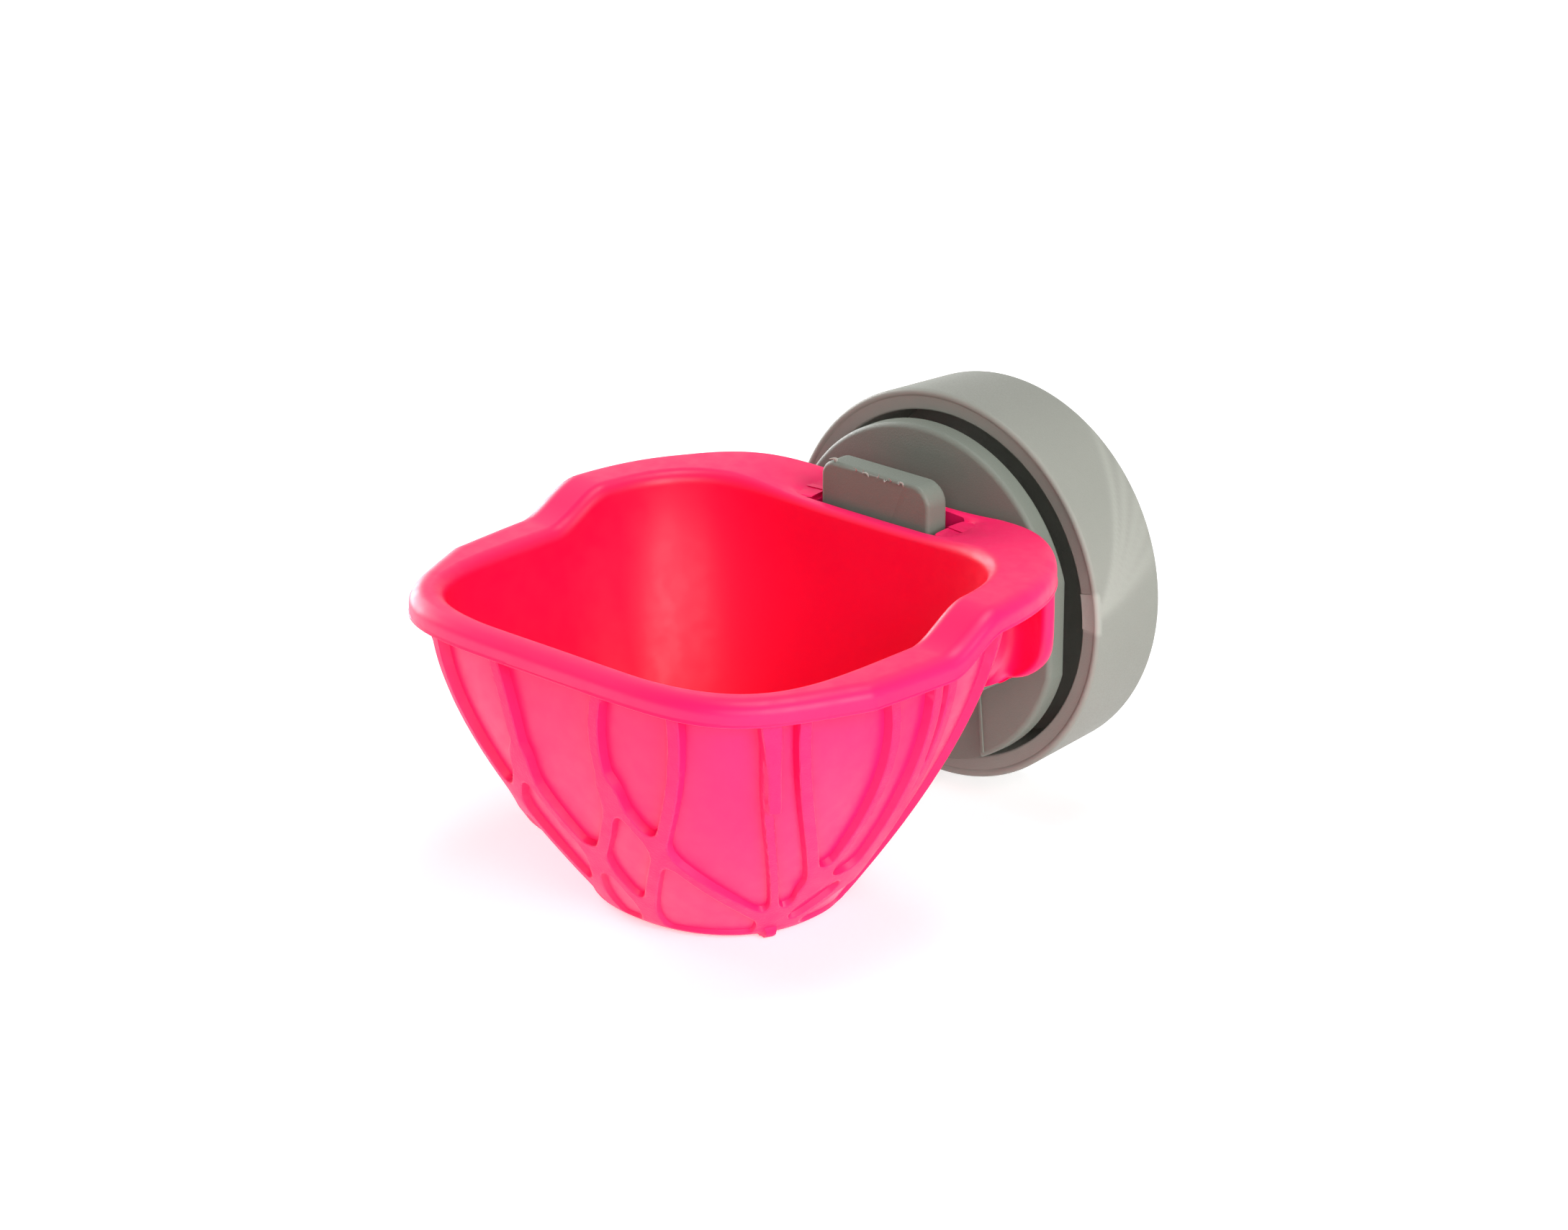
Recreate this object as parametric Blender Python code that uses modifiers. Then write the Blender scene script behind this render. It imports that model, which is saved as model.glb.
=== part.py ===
"""Bird feeder cup that clamps on cage bars.

Three mouldings: a ribbed cup, a holder plate whose tongue the cup hangs on, and a screw cap
that grips the cage bars against the holder's disc.

Metres, +Z up. The origin is on the stud's axis, in the disc's rear face, where the bars are
gripped. The cup is in front, at -Y, and the stud and the cap are behind, at +Y.
"""

import math

import bmesh
import bpy
from mathutils import Matrix, Vector

# Fits
SLIDE_GAP = 0.0004
REST_GAP = 0.0003
EMBED = 0.0010
TINY = 0.000001
SHARP_ANGLE = math.radians(35)

# Holder: disc, shelf, tongue and stud
DISC_RADIUS = 0.0304
DISC_THICKNESS = 0.0040
DISC_FLAT_HALF = 0.0292
DISC_EDGE = 0.0009
CHANNEL_HALF_TOP = 0.0132
CHANNEL_HALF_FOOT = 0.0146
CHANNEL_DEPTH = 0.0018
SHELF_HALF = 0.0202
SHELF_THICKNESS = 0.0056
SHELF_EDGE = 0.0006
TONGUE_HALF = 0.0121
TONGUE_THICKNESS = 0.0056
TONGUE_STAND = 0.0073
TONGUE_CORNER = 0.0038
TONGUE_EDGE = 0.0011
TONGUE_TO_DISC = 0.0070
TONGUE_STEPS = 5
STUD_RADIUS = 0.0100
STUD_LENGTH = 0.0165
STUD_EDGE = 0.0012
STUD_SEGMENTS = 48

# Cap: a turned ring with a closed back and a hub that runs on the stud
CAP_RADIUS = 0.0350
CAP_BACK_RADIUS = 0.0341
CAP_DEPTH = 0.0187
CAP_MOUTH_RADIUS = 0.0312
CAP_FLOOR_RADIUS = 0.0308
CAP_BACK_WALL = 0.0024
CAP_BACK_EDGE = 0.0018
CAP_LIP_WIDTH = 0.0012
CAP_REBATE = 0.0007
HUB_WALL = 0.0030
JAW_GAP = 0.0018
CAP_SEGMENTS = 72
CAP_EDGE_STEPS = 4
CAP_LIP_STEPS = 6

# Cup: bowl, lip, shoulders, ledge, pocket and ribs
WALL = 0.0022
BOWL_HALF_WIDTH = 0.0415
BOWL_HALF_DEPTH = 0.0376
BOWL_FLOOR_Z = -0.0380
FLOOR_SCALE = 0.53
FLOOR_CORNER = 0.0040
FLOOR_TURN = math.radians(60)
BOWL_BULGE = 1.8
RIM_POWER = 4.0
FLOOR_POWER = 2.2
RIM_Z = 0.0151
SHOULDER_RISE = 0.0050
SHOULDER_START = 0.0023
SHOULDER_LENGTH = 0.0130
LEDGE_DIP = 0.0024
LEDGE_DIP_HALF = 0.0240
LEDGE_REAR_LIFT = 0.0008
LIP_SIDE_OVERHANG = 0.0064
LIP_FRONT_OVERHANG = 0.0026
LIP_MIDDLE_AHEAD = 0.0147
LIP_FRONT_TAPER = 0.22
LIP_REAR_TAPER = 0.12
LIP_FRONT_POWER = 5.0
LIP_REAR_POWER = 3.1
LIP_REAR_OVERSHOOT = 0.0010
LIP_DROP = 0.0042
LIP_ROUND = 0.0016
LIP_THICKNESS = 0.0026
SKIRT_WALL = 0.0018
PLATE_REAR_Y = -0.0060
PLATE_THICKNESS = 0.0020
PLATE_HALF = 0.0390
PLATE_CORNER = 0.0100
PLATE_STEPS = 8
POCKET_FOOT_Z = -0.0050
CHEEK_FRONT_HALF = 0.0225
CHEEK_REAR_HALF = 0.0272
CHEEK_THICKNESS = 0.0020
SLOT_SIDE_GAP = 0.0019
SLOT_FRONT_GAP = 0.0008
CUP_SEGMENTS = 72
WALL_STEPS = 9
WALL_CROWDING = 1.25
HALVINGS = 40
CORNER_STEPS = 3
ROUND_STEPS = 2

# Foot ring and ribs: a web of veins that spreads from the foot ring up to the lip
FOOT_WIDTH = 0.0030
FOOT_HEIGHT = 0.0007
FOOT_TURN = math.radians(52)
RIB_HALF_WIDTH = 0.0014
RIB_HEIGHT = 0.0011
RIB_DRAFT = 0.0004
RIB_STEPS = 8
BRANCH_STEPS = 4
TAB_HALF_WIDTH = 0.0019
TAB_TIP_HALF_WIDTH = 0.0013
TAB_HEIGHT = 0.0026
WEB_MIDDLE = -91.5
NORMAL_STEP = 0.01

# The right half's ribs: start and end as degrees round the bowl and level, then a bow in degrees.
# Level 0 is the wall's foot, and level 1 is its root in the lip.
LONG_RIBS = (
    ((-74, 1.0), (-75, 0.57), -2),
    ((-74, 0.61), (-25, 0.02), -7),
    ((-55, 1.0), (-78, 0.01), 7),
    ((-37, 1.0), (-24, 0.01), -4),
    ((-30, 1.0), (-15, 0.19), -4),
    ((-7, 1.0), (-14, 0.18), 7),
    ((8, 1.0), (4, 0.17), 4),
    ((13, 1.0), (9, 0.13), 5),
    ((32, 1.0), (28, 0.01), 4),
    ((52, 1.0), (78, 0.01), -7),
    ((74, 0.52), (27, 0.02), 7),
)
BRANCH_RIBS = (
    ((-75, 0.60), (-91, 0.24), 3),
    ((-91, 0.26), (-78, 0.01), 1),
    ((-14, 0.24), (-26, 0.01), 2),
    ((4.5, 0.19), (-16, 0.18), 0),
    ((8, 0.15), (-14, 0.01), 0),
    ((74, 0.52), (91, 0.21), -3),
    ((91, 0.23), (78, 0.01), -1),
)
TAB_RIBS = (((-37, 1.0), (-35, 0.62), 0),)

# Positions that follow from the sizes
LEDGE_Z = RIM_Z + SHOULDER_RISE
SHELF_TOP_Z = POCKET_FOOT_Z - REST_GAP
TONGUE_REAR_Y = -DISC_THICKNESS - TONGUE_TO_DISC
TONGUE_FRONT_Y = TONGUE_REAR_Y - TONGUE_THICKNESS
TONGUE_TOP_Z = LEDGE_Z - LEDGE_DIP + TONGUE_STAND
BOWL_AXIS_Y = TONGUE_FRONT_Y - SLOT_FRONT_GAP - REST_GAP - BOWL_HALF_DEPTH
SHOULDER_FRONT_Y = BOWL_AXIS_Y + SHOULDER_START
SHOULDER_REAR_Y = SHOULDER_FRONT_Y + SHOULDER_LENGTH
LIP_HALF_WIDTH = BOWL_HALF_WIDTH + LIP_SIDE_OVERHANG
LIP_FRONT_Y = BOWL_AXIS_Y - BOWL_HALF_DEPTH - LIP_FRONT_OVERHANG
LIP_MIDDLE_Y = BOWL_AXIS_Y - LIP_MIDDLE_AHEAD
LIP_REAR_HALF = PLATE_REAR_Y - LIP_MIDDLE_Y + LIP_REAR_OVERSHOOT
LIP_FRONT_HALF = LIP_MIDDLE_Y - LIP_FRONT_Y
HUB_BORE = STUD_RADIUS + SLIDE_GAP
HUB_RADIUS = HUB_BORE + HUB_WALL


# Scene helpers

def clear_scene():
    for item in list(bpy.data.objects):
        bpy.data.objects.remove(item, do_unlink=True)


def new_collection(name):
    collection = bpy.data.collections.new(name)
    bpy.context.scene.collection.children.link(collection)
    return collection


def plastic(name, colour, roughness):
    material = bpy.data.materials.new(name)
    material.use_nodes = True
    shader = material.node_tree.nodes["Principled BSDF"]
    shader.inputs["Base Color"].default_value = (*colour, 1.0)
    shader.inputs["Roughness"].default_value = roughness
    shader.inputs["Metallic"].default_value = 0.0
    return material


def mesh_object(name, bm, collection, material=None):
    bmesh.ops.recalc_face_normals(bm, faces=bm.faces)
    mesh = bpy.data.meshes.new(name)
    bm.to_mesh(mesh)
    bm.free()
    mesh.shade_smooth()
    mesh.set_sharp_from_angle(angle=SHARP_ANGLE)
    item = bpy.data.objects.new(name, mesh)
    collection.objects.link(item)
    if material:
        mesh.materials.append(material)
    return item


def tool_object(name, bm, collection):
    item = mesh_object(name, bm, collection)
    item.hide_render = True
    item.display_type = "WIRE"
    return item


def combine(item, tool, operation, solver="EXACT"):
    modifier = item.modifiers.new(f"{operation.lower()} {tool.name}", "BOOLEAN")
    modifier.operation = operation
    modifier.solver = solver
    modifier.object = tool
    return modifier


def soften(item, width, segments=2, angle=math.radians(40)):
    modifier = item.modifiers.new("soft edges", "BEVEL")
    modifier.width = width
    modifier.segments = segments
    modifier.limit_method = "ANGLE"
    modifier.angle_limit = angle
    return modifier


def box(low, high):
    """A box between two corners."""
    bm = bmesh.new()
    bmesh.ops.create_cube(bm, size=1.0)
    low = Vector(low)
    high = Vector(high)
    centre = (low + high) / 2
    scale = Matrix.Diagonal((*(high - low), 1.0))
    bmesh.ops.transform(bm, matrix=Matrix.Translation(centre) @ scale, verts=bm.verts)
    return bm


def round_edges_along_y(bm, radius, segments, chosen):
    """Rounds the edges that run along Y and whose middle passes the chosen test."""
    edges = []
    for edge in bm.edges:
        start, end = (vert.co for vert in edge.verts)
        along_y = abs(start.x - end.x) < TINY and abs(start.z - end.z) < TINY
        if along_y and chosen((start + end) / 2):
            edges.append(edge)
    bmesh.ops.bevel(bm, geom=edges, offset=radius, segments=segments, profile=0.5, affect="EDGES")


def turned_disc(radius, rear_y, front_y, segments):
    """A solid disc about the Y axis."""
    bm = bmesh.new()
    bmesh.ops.create_cone(bm, cap_ends=True, segments=segments, radius1=radius, radius2=radius,
                          depth=abs(front_y - rear_y))
    turn = Matrix.Rotation(math.radians(90), 4, "X")
    shift = Matrix.Translation((0, (rear_y + front_y) / 2, 0))
    bmesh.ops.transform(bm, matrix=shift @ turn, verts=bm.verts)
    return bm


# Holder plate

def make_holder(parts, tools, material):
    disc = turned_disc(DISC_RADIUS, 0.0, -DISC_THICKNESS, CAP_SEGMENTS)
    for vert in disc.verts:
        vert.co.x = max(-DISC_FLAT_HALF, min(DISC_FLAT_HALF, vert.co.x))
    holder = mesh_object("holder_plate", disc, parts, material)
    soften(holder, DISC_EDGE)
    combine(holder, make_shelf(tools), "UNION")
    combine(holder, make_tongue(tools), "UNION")
    combine(holder, make_stud(tools), "UNION")
    combine(holder, make_channel(tools), "DIFFERENCE")
    return holder


def make_shelf(tools):
    low = (-SHELF_HALF, TONGUE_FRONT_Y, SHELF_TOP_Z - SHELF_THICKNESS)
    high = (SHELF_HALF, -DISC_THICKNESS + EMBED, SHELF_TOP_Z)
    shelf = tool_object("shelf form", box(low, high), tools)
    soften(shelf, SHELF_EDGE)
    return shelf


def make_tongue(tools):
    low = (-TONGUE_HALF, TONGUE_FRONT_Y + SHELF_EDGE, SHELF_TOP_Z - SHELF_THICKNESS / 2)
    high = (TONGUE_HALF, TONGUE_REAR_Y, TONGUE_TOP_Z)
    bm = box(low, high)
    round_edges_along_y(bm, TONGUE_CORNER, TONGUE_STEPS, lambda middle: middle.z > LEDGE_Z)
    tongue = tool_object("tongue form", bm, tools)
    soften(tongue, TONGUE_EDGE)
    return tongue


def make_stud(tools):
    bm = turned_disc(STUD_RADIUS, STUD_LENGTH, -EMBED, STUD_SEGMENTS)
    stud = tool_object("stud form", bm, tools)
    soften(stud, STUD_EDGE)
    return stud


def make_channel(tools):
    """A shallow recess in the disc below the shelf, open at the foot."""
    shelf_foot = SHELF_TOP_Z - SHELF_THICKNESS
    foot = -DISC_RADIUS - EMBED
    low = (-CHANNEL_HALF_FOOT, -DISC_THICKNESS - EMBED, foot)
    high = (CHANNEL_HALF_FOOT, -DISC_THICKNESS + CHANNEL_DEPTH, shelf_foot + EMBED)
    bm = box(low, high)
    for vert in bm.verts:
        if vert.co.z > shelf_foot:
            vert.co.x = math.copysign(CHANNEL_HALF_TOP, vert.co.x)
    return tool_object("channel form", bm, tools)


# Clamp cap

def make_cap(parts, material):
    """Turned about Y: the profile runs from the back's centre round the skirt to the hub's floor."""
    front = JAW_GAP
    back = front + CAP_DEPTH
    floor = back - CAP_BACK_WALL
    lip_inner = CAP_RADIUS - CAP_LIP_WIDTH
    lip_round = CAP_LIP_WIDTH / 2
    edge_r = CAP_BACK_RADIUS - CAP_BACK_EDGE
    profile = [(0.0, back), (edge_r, back)]
    profile += arc(edge_r, back - CAP_BACK_EDGE, CAP_BACK_EDGE, 90, 0, CAP_EDGE_STEPS)[1:]
    profile += arc(CAP_RADIUS - lip_round, front + lip_round, lip_round, 0, -180, CAP_LIP_STEPS)
    profile += [
        (lip_inner, front + CAP_REBATE + lip_round),
        (CAP_MOUTH_RADIUS, front + CAP_REBATE + lip_round),
        (CAP_FLOOR_RADIUS, floor),
        (HUB_RADIUS, floor),
        (HUB_RADIUS, REST_GAP),
        (HUB_BORE, REST_GAP),
        (HUB_BORE, floor),
        (0.0, floor),
    ]
    mesh = bpy.data.meshes.new("clamp_cap")
    verts = [(radius, 0.0, -y) for radius, y in profile]
    edges = [(i, i + 1) for i in range(len(verts) - 1)]
    mesh.from_pydata(verts, edges, [])
    mesh.materials.append(material)
    cap = bpy.data.objects.new("clamp_cap", mesh)
    cap.rotation_euler = (math.radians(90), 0.0, 0.0)
    parts.objects.link(cap)
    turn = cap.modifiers.new("turn", "SCREW")
    turn.axis = "Z"
    turn.steps = CAP_SEGMENTS
    turn.render_steps = CAP_SEGMENTS
    turn.use_merge_vertices = True
    turn.merge_threshold = 10 * TINY
    turn.use_normal_calculate = True
    return cap


def arc(centre_r, centre_y, radius, start, end, steps):
    points = []
    for i in range(steps + 1):
        angle = math.radians(start + (end - start) * i / steps)
        points.append((centre_r + radius * math.cos(angle), centre_y + radius * math.sin(angle)))
    return points


# Feeder cup

def smooth_step(value):
    value = max(0.0, min(1.0, value))
    return value * value * (3 - 2 * value)


def rim_height(x, y):
    """Height of the lip: level in front, up over the shoulders, dipped about the slot."""
    rise = smooth_step((y - SHOULDER_FRONT_Y) / (SHOULDER_REAR_Y - SHOULDER_FRONT_Y))
    behind = smooth_step((y - SHOULDER_REAR_Y) / (TONGUE_FRONT_Y - SHOULDER_REAR_Y))
    lift = LEDGE_REAR_LIFT * smooth_step((y - TONGUE_FRONT_Y) / (PLATE_REAR_Y - TONGUE_FRONT_Y))
    dip = (LEDGE_DIP * behind - lift) * math.exp(-(x / LEDGE_DIP_HALF) ** 4)
    return RIM_Z + SHOULDER_RISE * rise - dip


def lip_outline(angle, inset):
    """The lip's plan: a tapering superellipse about its own middle, cut straight at the rear."""
    def outside(reach):
        x = reach * math.cos(angle)
        y = BOWL_AXIS_Y + reach * math.sin(angle)
        return abs(x) > lip_half_width(y)
    reach = bisect(outside, LIP_REAR_HALF * 2)
    if math.sin(angle) > 0:
        reach = min(reach, (PLATE_REAR_Y - BOWL_AXIS_Y) / math.sin(angle))
    reach -= inset
    return reach * math.cos(angle), BOWL_AXIS_Y + reach * math.sin(angle)


def lip_half_width(y):
    """Half of the lip's width at a place along it, or -1 past its ends."""
    if y < LIP_MIDDLE_Y:
        half, power, taper = LIP_FRONT_HALF, LIP_FRONT_POWER, LIP_FRONT_TAPER
    else:
        half, power, taper = LIP_REAR_HALF, LIP_REAR_POWER, LIP_REAR_TAPER
    along = (y - LIP_MIDDLE_Y) / half
    if abs(along) > 1:
        return -1.0
    return LIP_HALF_WIDTH * (1 + taper * along) * (1 - abs(along) ** power) ** (1 / power)


def bisect(outside, highest):
    low = 0.0
    high = highest
    for _ in range(HALVINGS):
        middle = (low + high) / 2
        if outside(middle):
            high = middle
        else:
            low = middle
    return (low + high) / 2


def bowl_scale(level):
    """Width of the bowl at a level from 0, the floor, to 1, the rim, as a share of the rim's."""
    return FLOOR_SCALE + (1 - FLOOR_SCALE) * (1 - (1 - level) ** BOWL_BULGE)


def bowl_outline(angle, level, inset):
    """The bowl's plan at a level: a superellipse, squarer at the rim than at the floor."""
    scale = bowl_scale(level)
    power = FLOOR_POWER + (RIM_POWER - FLOOR_POWER) * level
    half_width = BOWL_HALF_WIDTH * scale - inset
    half_depth = BOWL_HALF_DEPTH * scale - inset
    across = abs(math.cos(angle)) / half_width
    along = abs(math.sin(angle)) / half_depth
    reach = (across ** power + along ** power) ** (-1 / power)
    return reach * math.cos(angle), BOWL_AXIS_Y + reach * math.sin(angle)


def wall_point(angle, level, inset, top_drop):
    """A point on the bowl's wall, from its floor up to the lip."""
    x, y = bowl_outline(angle, level, inset)
    rim_x, rim_y = bowl_outline(angle, 1.0, inset)
    top = rim_height(rim_x, rim_y) - top_drop
    foot = BOWL_FLOOR_Z + inset + FLOOR_CORNER * (1 - math.cos(FLOOR_TURN))
    return Vector((x, y, foot + (top - foot) * level))


def cup_rings():
    """Rings from the inside of the floor, over the lip, to the underside of the floor."""
    angles = [math.tau * i / CUP_SEGMENTS for i in range(CUP_SEGMENTS)]
    levels = [((i + 1) / WALL_STEPS) ** WALL_CROWDING for i in range(WALL_STEPS)]
    corner_turns = [FLOOR_TURN * i / CORNER_STEPS for i in range(CORNER_STEPS + 1)]
    round_turns = [math.radians(90) * (i + 1) / ROUND_STEPS for i in range(ROUND_STEPS)]
    rings = [[floor_point(angle, turn, WALL) for angle in angles] for turn in corner_turns]
    for level in levels:
        rings.append([wall_point(angle, level, WALL, LIP_ROUND) for angle in angles])
    for turn in round_turns:
        rings.append([lip_point(angle, *rounded(turn)) for angle in angles])
    for turn in reversed(round_turns):
        rings.append([skirt_point(angle, *rounded(turn)) for angle in angles])
    skirt = ((0.0, LIP_ROUND), (0.0, LIP_DROP), (SKIRT_WALL, LIP_DROP), (SKIRT_WALL, LIP_THICKNESS))
    for inset, drop in skirt:
        rings.append([skirt_point(angle, inset, drop) for angle in angles])
    for level in reversed(levels):
        rings.append([wall_point(angle, level, 0.0, LIP_THICKNESS) for angle in angles])
    rings.append([floor_point(angle, FLOOR_TURN, 0.0) for angle in angles])
    rings.append([floor_point(angle, FOOT_TURN, 0.0) for angle in angles])
    for turn in (FOOT_TURN, FOOT_TURN / 2, 0.0):
        rings.append([floor_point(angle, turn, -FOOT_HEIGHT) for angle in angles])
    for rise in (0.0, FOOT_HEIGHT):
        rings.append([foot_inner_point(angle, rise) for angle in angles])
    return rings


def rounded(turn):
    """How far in and how far down a point on the lip's rounded edge is."""
    return LIP_ROUND * (1 - math.cos(turn)), LIP_ROUND * (1 - math.sin(turn))


def floor_point(angle, turn, inset):
    """A point on the rounded corner between the flat floor and the leaning wall."""
    x, y = bowl_outline(angle, 0.0, inset + FLOOR_CORNER * (math.sin(FLOOR_TURN) - math.sin(turn)))
    return Vector((x, y, BOWL_FLOOR_Z + inset + FLOOR_CORNER * (1 - math.cos(turn))))


def foot_inner_point(angle, rise):
    """A point on the foot ring's inner edge, or above it on the underside of the floor."""
    inset = FLOOR_CORNER * math.sin(FLOOR_TURN) - FOOT_HEIGHT + FOOT_WIDTH
    x, y = bowl_outline(angle, 0.0, inset)
    return Vector((x, y, BOWL_FLOOR_Z - FOOT_HEIGHT + rise))


def lip_point(angle, step, drop):
    """A point on the lip's top, a step out from the bowl's inner wall."""
    inner = Vector(bowl_outline(angle, 1.0, WALL))
    outer = Vector(lip_outline(angle, 0.0))
    x, y = inner + (outer - inner).normalized() * step
    return Vector((x, y, rim_height(x, y) - drop))


def skirt_point(angle, inset, drop):
    x, y = lip_outline(angle, inset)
    return Vector((x, y, rim_height(x, y) - drop))


def lip_root(x, y):
    """The height at which what hangs from the lip or the ledge ends inside their thickness."""
    return rim_height(x, y) - LIP_THICKNESS + EMBED


def loft(rings):
    """Joins rings into one closed skin, with a fan at each end."""
    bm = bmesh.new()
    grid = [[bm.verts.new(point) for point in ring] for ring in rings]
    count = len(grid[0])
    for lower, upper in zip(grid, grid[1:]):
        for i in range(count):
            after = (i + 1) % count
            bm.faces.new((lower[i], lower[after], upper[after], upper[i]))
    for ring in (grid[0], grid[-1]):
        centre = sum((vert.co for vert in ring), Vector()) / count
        tip = bm.verts.new(centre)
        for i in range(count):
            bm.faces.new((tip, ring[i], ring[(i + 1) % count]))
    return bm


def make_cup(parts, tools, material):
    cup = mesh_object("feeder_cup", loft(cup_rings()), parts, material)
    combine(cup, make_rear_plate(tools), "UNION", "MANIFOLD")
    for side in (-1, 1):
        combine(cup, make_cheek(tools, side), "UNION", "MANIFOLD")
    combine(cup, make_slot(tools), "DIFFERENCE", "MANIFOLD")
    rib_widths = (RIB_HALF_WIDTH, RIB_HALF_WIDTH)
    tab_widths = (TAB_HALF_WIDTH, TAB_TIP_HALF_WIDTH)
    for lines, steps, half_widths, height in (
        (LONG_RIBS, RIB_STEPS, rib_widths, RIB_HEIGHT),
        (BRANCH_RIBS, BRANCH_STEPS, rib_widths, RIB_HEIGHT),
        (TAB_RIBS, BRANCH_STEPS, tab_widths, TAB_HEIGHT),
    ):
        for line in lines:
            for mirrored in (False, True):
                rib = make_rib(tools, line, mirrored, steps, half_widths, height)
                combine(cup, rib, "UNION", "MANIFOLD")
    return cup


def make_rear_plate(tools):
    """A wall that follows the lip's rear edge and hangs down from it, with rounded lower corners."""
    rings = []
    for i in range(-2 * PLATE_STEPS, 2 * PLATE_STEPS + 1):
        x = plate_station(i)
        past = max(0.0, abs(x) - PLATE_HALF + PLATE_CORNER)
        foot_z = POCKET_FOOT_Z + PLATE_CORNER - math.sqrt(PLATE_CORNER ** 2 - past ** 2)
        rear_y = plate_rear_y(x)
        front_y = rear_y - PLATE_THICKNESS
        top_z = lip_root(x, rear_y)
        ring = [(x, rear_y, foot_z), (x, front_y, foot_z), (x, front_y, top_z), (x, rear_y, top_z)]
        rings.append([Vector(point) for point in ring])
    return tool_object("rear plate form", loft(rings), tools)


def plate_station(index):
    """Places across the plate: a few over its flat middle, closer together round its corners."""
    flat = PLATE_HALF - PLATE_CORNER
    if abs(index) <= PLATE_STEPS:
        return flat * index / PLATE_STEPS
    turn = math.radians(90) * (abs(index) - PLATE_STEPS) / PLATE_STEPS
    return math.copysign(flat + PLATE_CORNER * math.sin(turn), index)


def plate_rear_y(x):
    """The plate's rear face at a place across, just inside the lip's rear edge."""
    step = bisect(lambda forward: abs(x) < lip_half_width(PLATE_REAR_Y - forward), LIP_REAR_HALF / 2)
    return PLATE_REAR_Y - step - REST_GAP


def wall_rear_y(x, z):
    """Where the middle of the bowl's rear wall is, at a place across and a height."""
    top = LEDGE_Z - WALL
    level = max(0.0, min(1.0, (z - BOWL_FLOOR_Z) / (top - BOWL_FLOOR_Z)))
    scale = bowl_scale(level)
    power = FLOOR_POWER + (RIM_POWER - FLOOR_POWER) * level
    across = abs(x) / (BOWL_HALF_WIDTH * scale - EMBED)
    return BOWL_AXIS_Y + (BOWL_HALF_DEPTH * scale - EMBED) * (1 - across ** power) ** (1 / power)


def make_cheek(tools, side):
    """A wall from the bowl's rear corner to the plate, which closes the pocket's side."""
    rear_y = plate_rear_y(CHEEK_REAR_HALF + CHEEK_THICKNESS) - PLATE_THICKNESS + EMBED
    front_top_y = wall_rear_y(CHEEK_FRONT_HALF, LEDGE_Z)
    corners = (
        (CHEEK_FRONT_HALF, front_top_y),
        (CHEEK_FRONT_HALF + CHEEK_THICKNESS, front_top_y),
        (CHEEK_REAR_HALF + CHEEK_THICKNESS, rear_y),
        (CHEEK_REAR_HALF, rear_y),
    )
    rings = []
    for share in (0.0, 0.5, 1.0):
        ring = []
        for x, top_y in corners:
            z = POCKET_FOOT_Z + (lip_root(x, top_y) - POCKET_FOOT_Z) * share
            y = rear_y if top_y == rear_y else wall_rear_y(CHEEK_FRONT_HALF, z)
            ring.append(Vector((side * x, y, z)))
        rings.append(ring)
    return tool_object(f"cheek form {side}", loft(rings), tools)


def make_slot(tools):
    half = TONGUE_HALF + SLOT_SIDE_GAP
    low = (-half, TONGUE_FRONT_Y - SLOT_FRONT_GAP, POCKET_FOOT_Z + PLATE_CORNER)
    high = (half, PLATE_REAR_Y - PLATE_THICKNESS, LEDGE_Z + WALL)
    return tool_object("slot form", box(low, high), tools)


def make_rib(tools, line, mirrored, steps, half_widths, height):
    """A band with drafted sides along a bowed line on the bowl, sunk into its wall and rooted in the lip."""
    rings = []
    for i in range(steps + 1):
        here = rib_place(line, mirrored, i / steps)
        before = rib_place(line, mirrored, (i - 1) / steps)
        after = rib_place(line, mirrored, (i + 1) / steps)
        out = wall_normal(*here)
        centre = outer_wall(*here)
        along = (outer_wall(*after) - outer_wall(*before)).normalized()
        across = along.cross(out).normalized()
        half_width = half_widths[0] + (half_widths[1] - half_widths[0]) * i / steps
        foot = centre - out * EMBED
        top = centre + out * height
        ring = [foot - across * half_width, foot + across * half_width]
        ring += [top + across * (half_width - RIB_DRAFT), top - across * (half_width - RIB_DRAFT)]
        if here[1] == 1.0:
            ring = [Vector((point.x, point.y, lip_root(point.x, point.y))) for point in ring]
        rings.append(ring)
    return tool_object("rib form", loft(rings), tools)


def rib_place(line, mirrored, share):
    """The angle and level at a share of the way along a rib's line."""
    (start_angle, start_level), (end_angle, end_level), bow = line
    bulge = 1 - (2 * share - 1) ** 2
    degrees = start_angle + (end_angle - start_angle) * share + bow * bulge
    level = start_level + (end_level - start_level) * share
    return math.radians(2 * WEB_MIDDLE - degrees if mirrored else degrees), max(0.0, min(1.0, level))


def outer_wall(angle, level):
    return wall_point(angle, level, 0.0, LIP_THICKNESS)


def wall_normal(angle, level):
    """The direction straight out of the bowl's wall."""
    around = outer_wall(angle + NORMAL_STEP, level) - outer_wall(angle - NORMAL_STEP, level)
    up = outer_wall(angle, min(1.0, level + NORMAL_STEP)) - outer_wall(angle, max(0.0, level - NORMAL_STEP))
    return around.cross(up).normalized()


def main():
    clear_scene()
    parts = new_collection("bird feeder cup")
    tools = new_collection("forms")
    pink = plastic("pink plastic", (0.97, 0.015, 0.15), 0.30)
    grey = plastic("grey holder plastic", (0.28, 0.28, 0.25), 0.50)
    pale_grey = plastic("grey cap plastic", (0.40, 0.40, 0.36), 0.45)
    make_holder(parts, tools, grey)
    make_cap(parts, pale_grey)
    make_cup(parts, tools, pink)


main()
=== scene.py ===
"""Looks of the bird feeder cup: fine meshes in place of the solids, materials, stage and camera.

Metres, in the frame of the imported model: the stud's axis is Y, the cup is at -Y, +Z is up.
"""

import math

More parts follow.
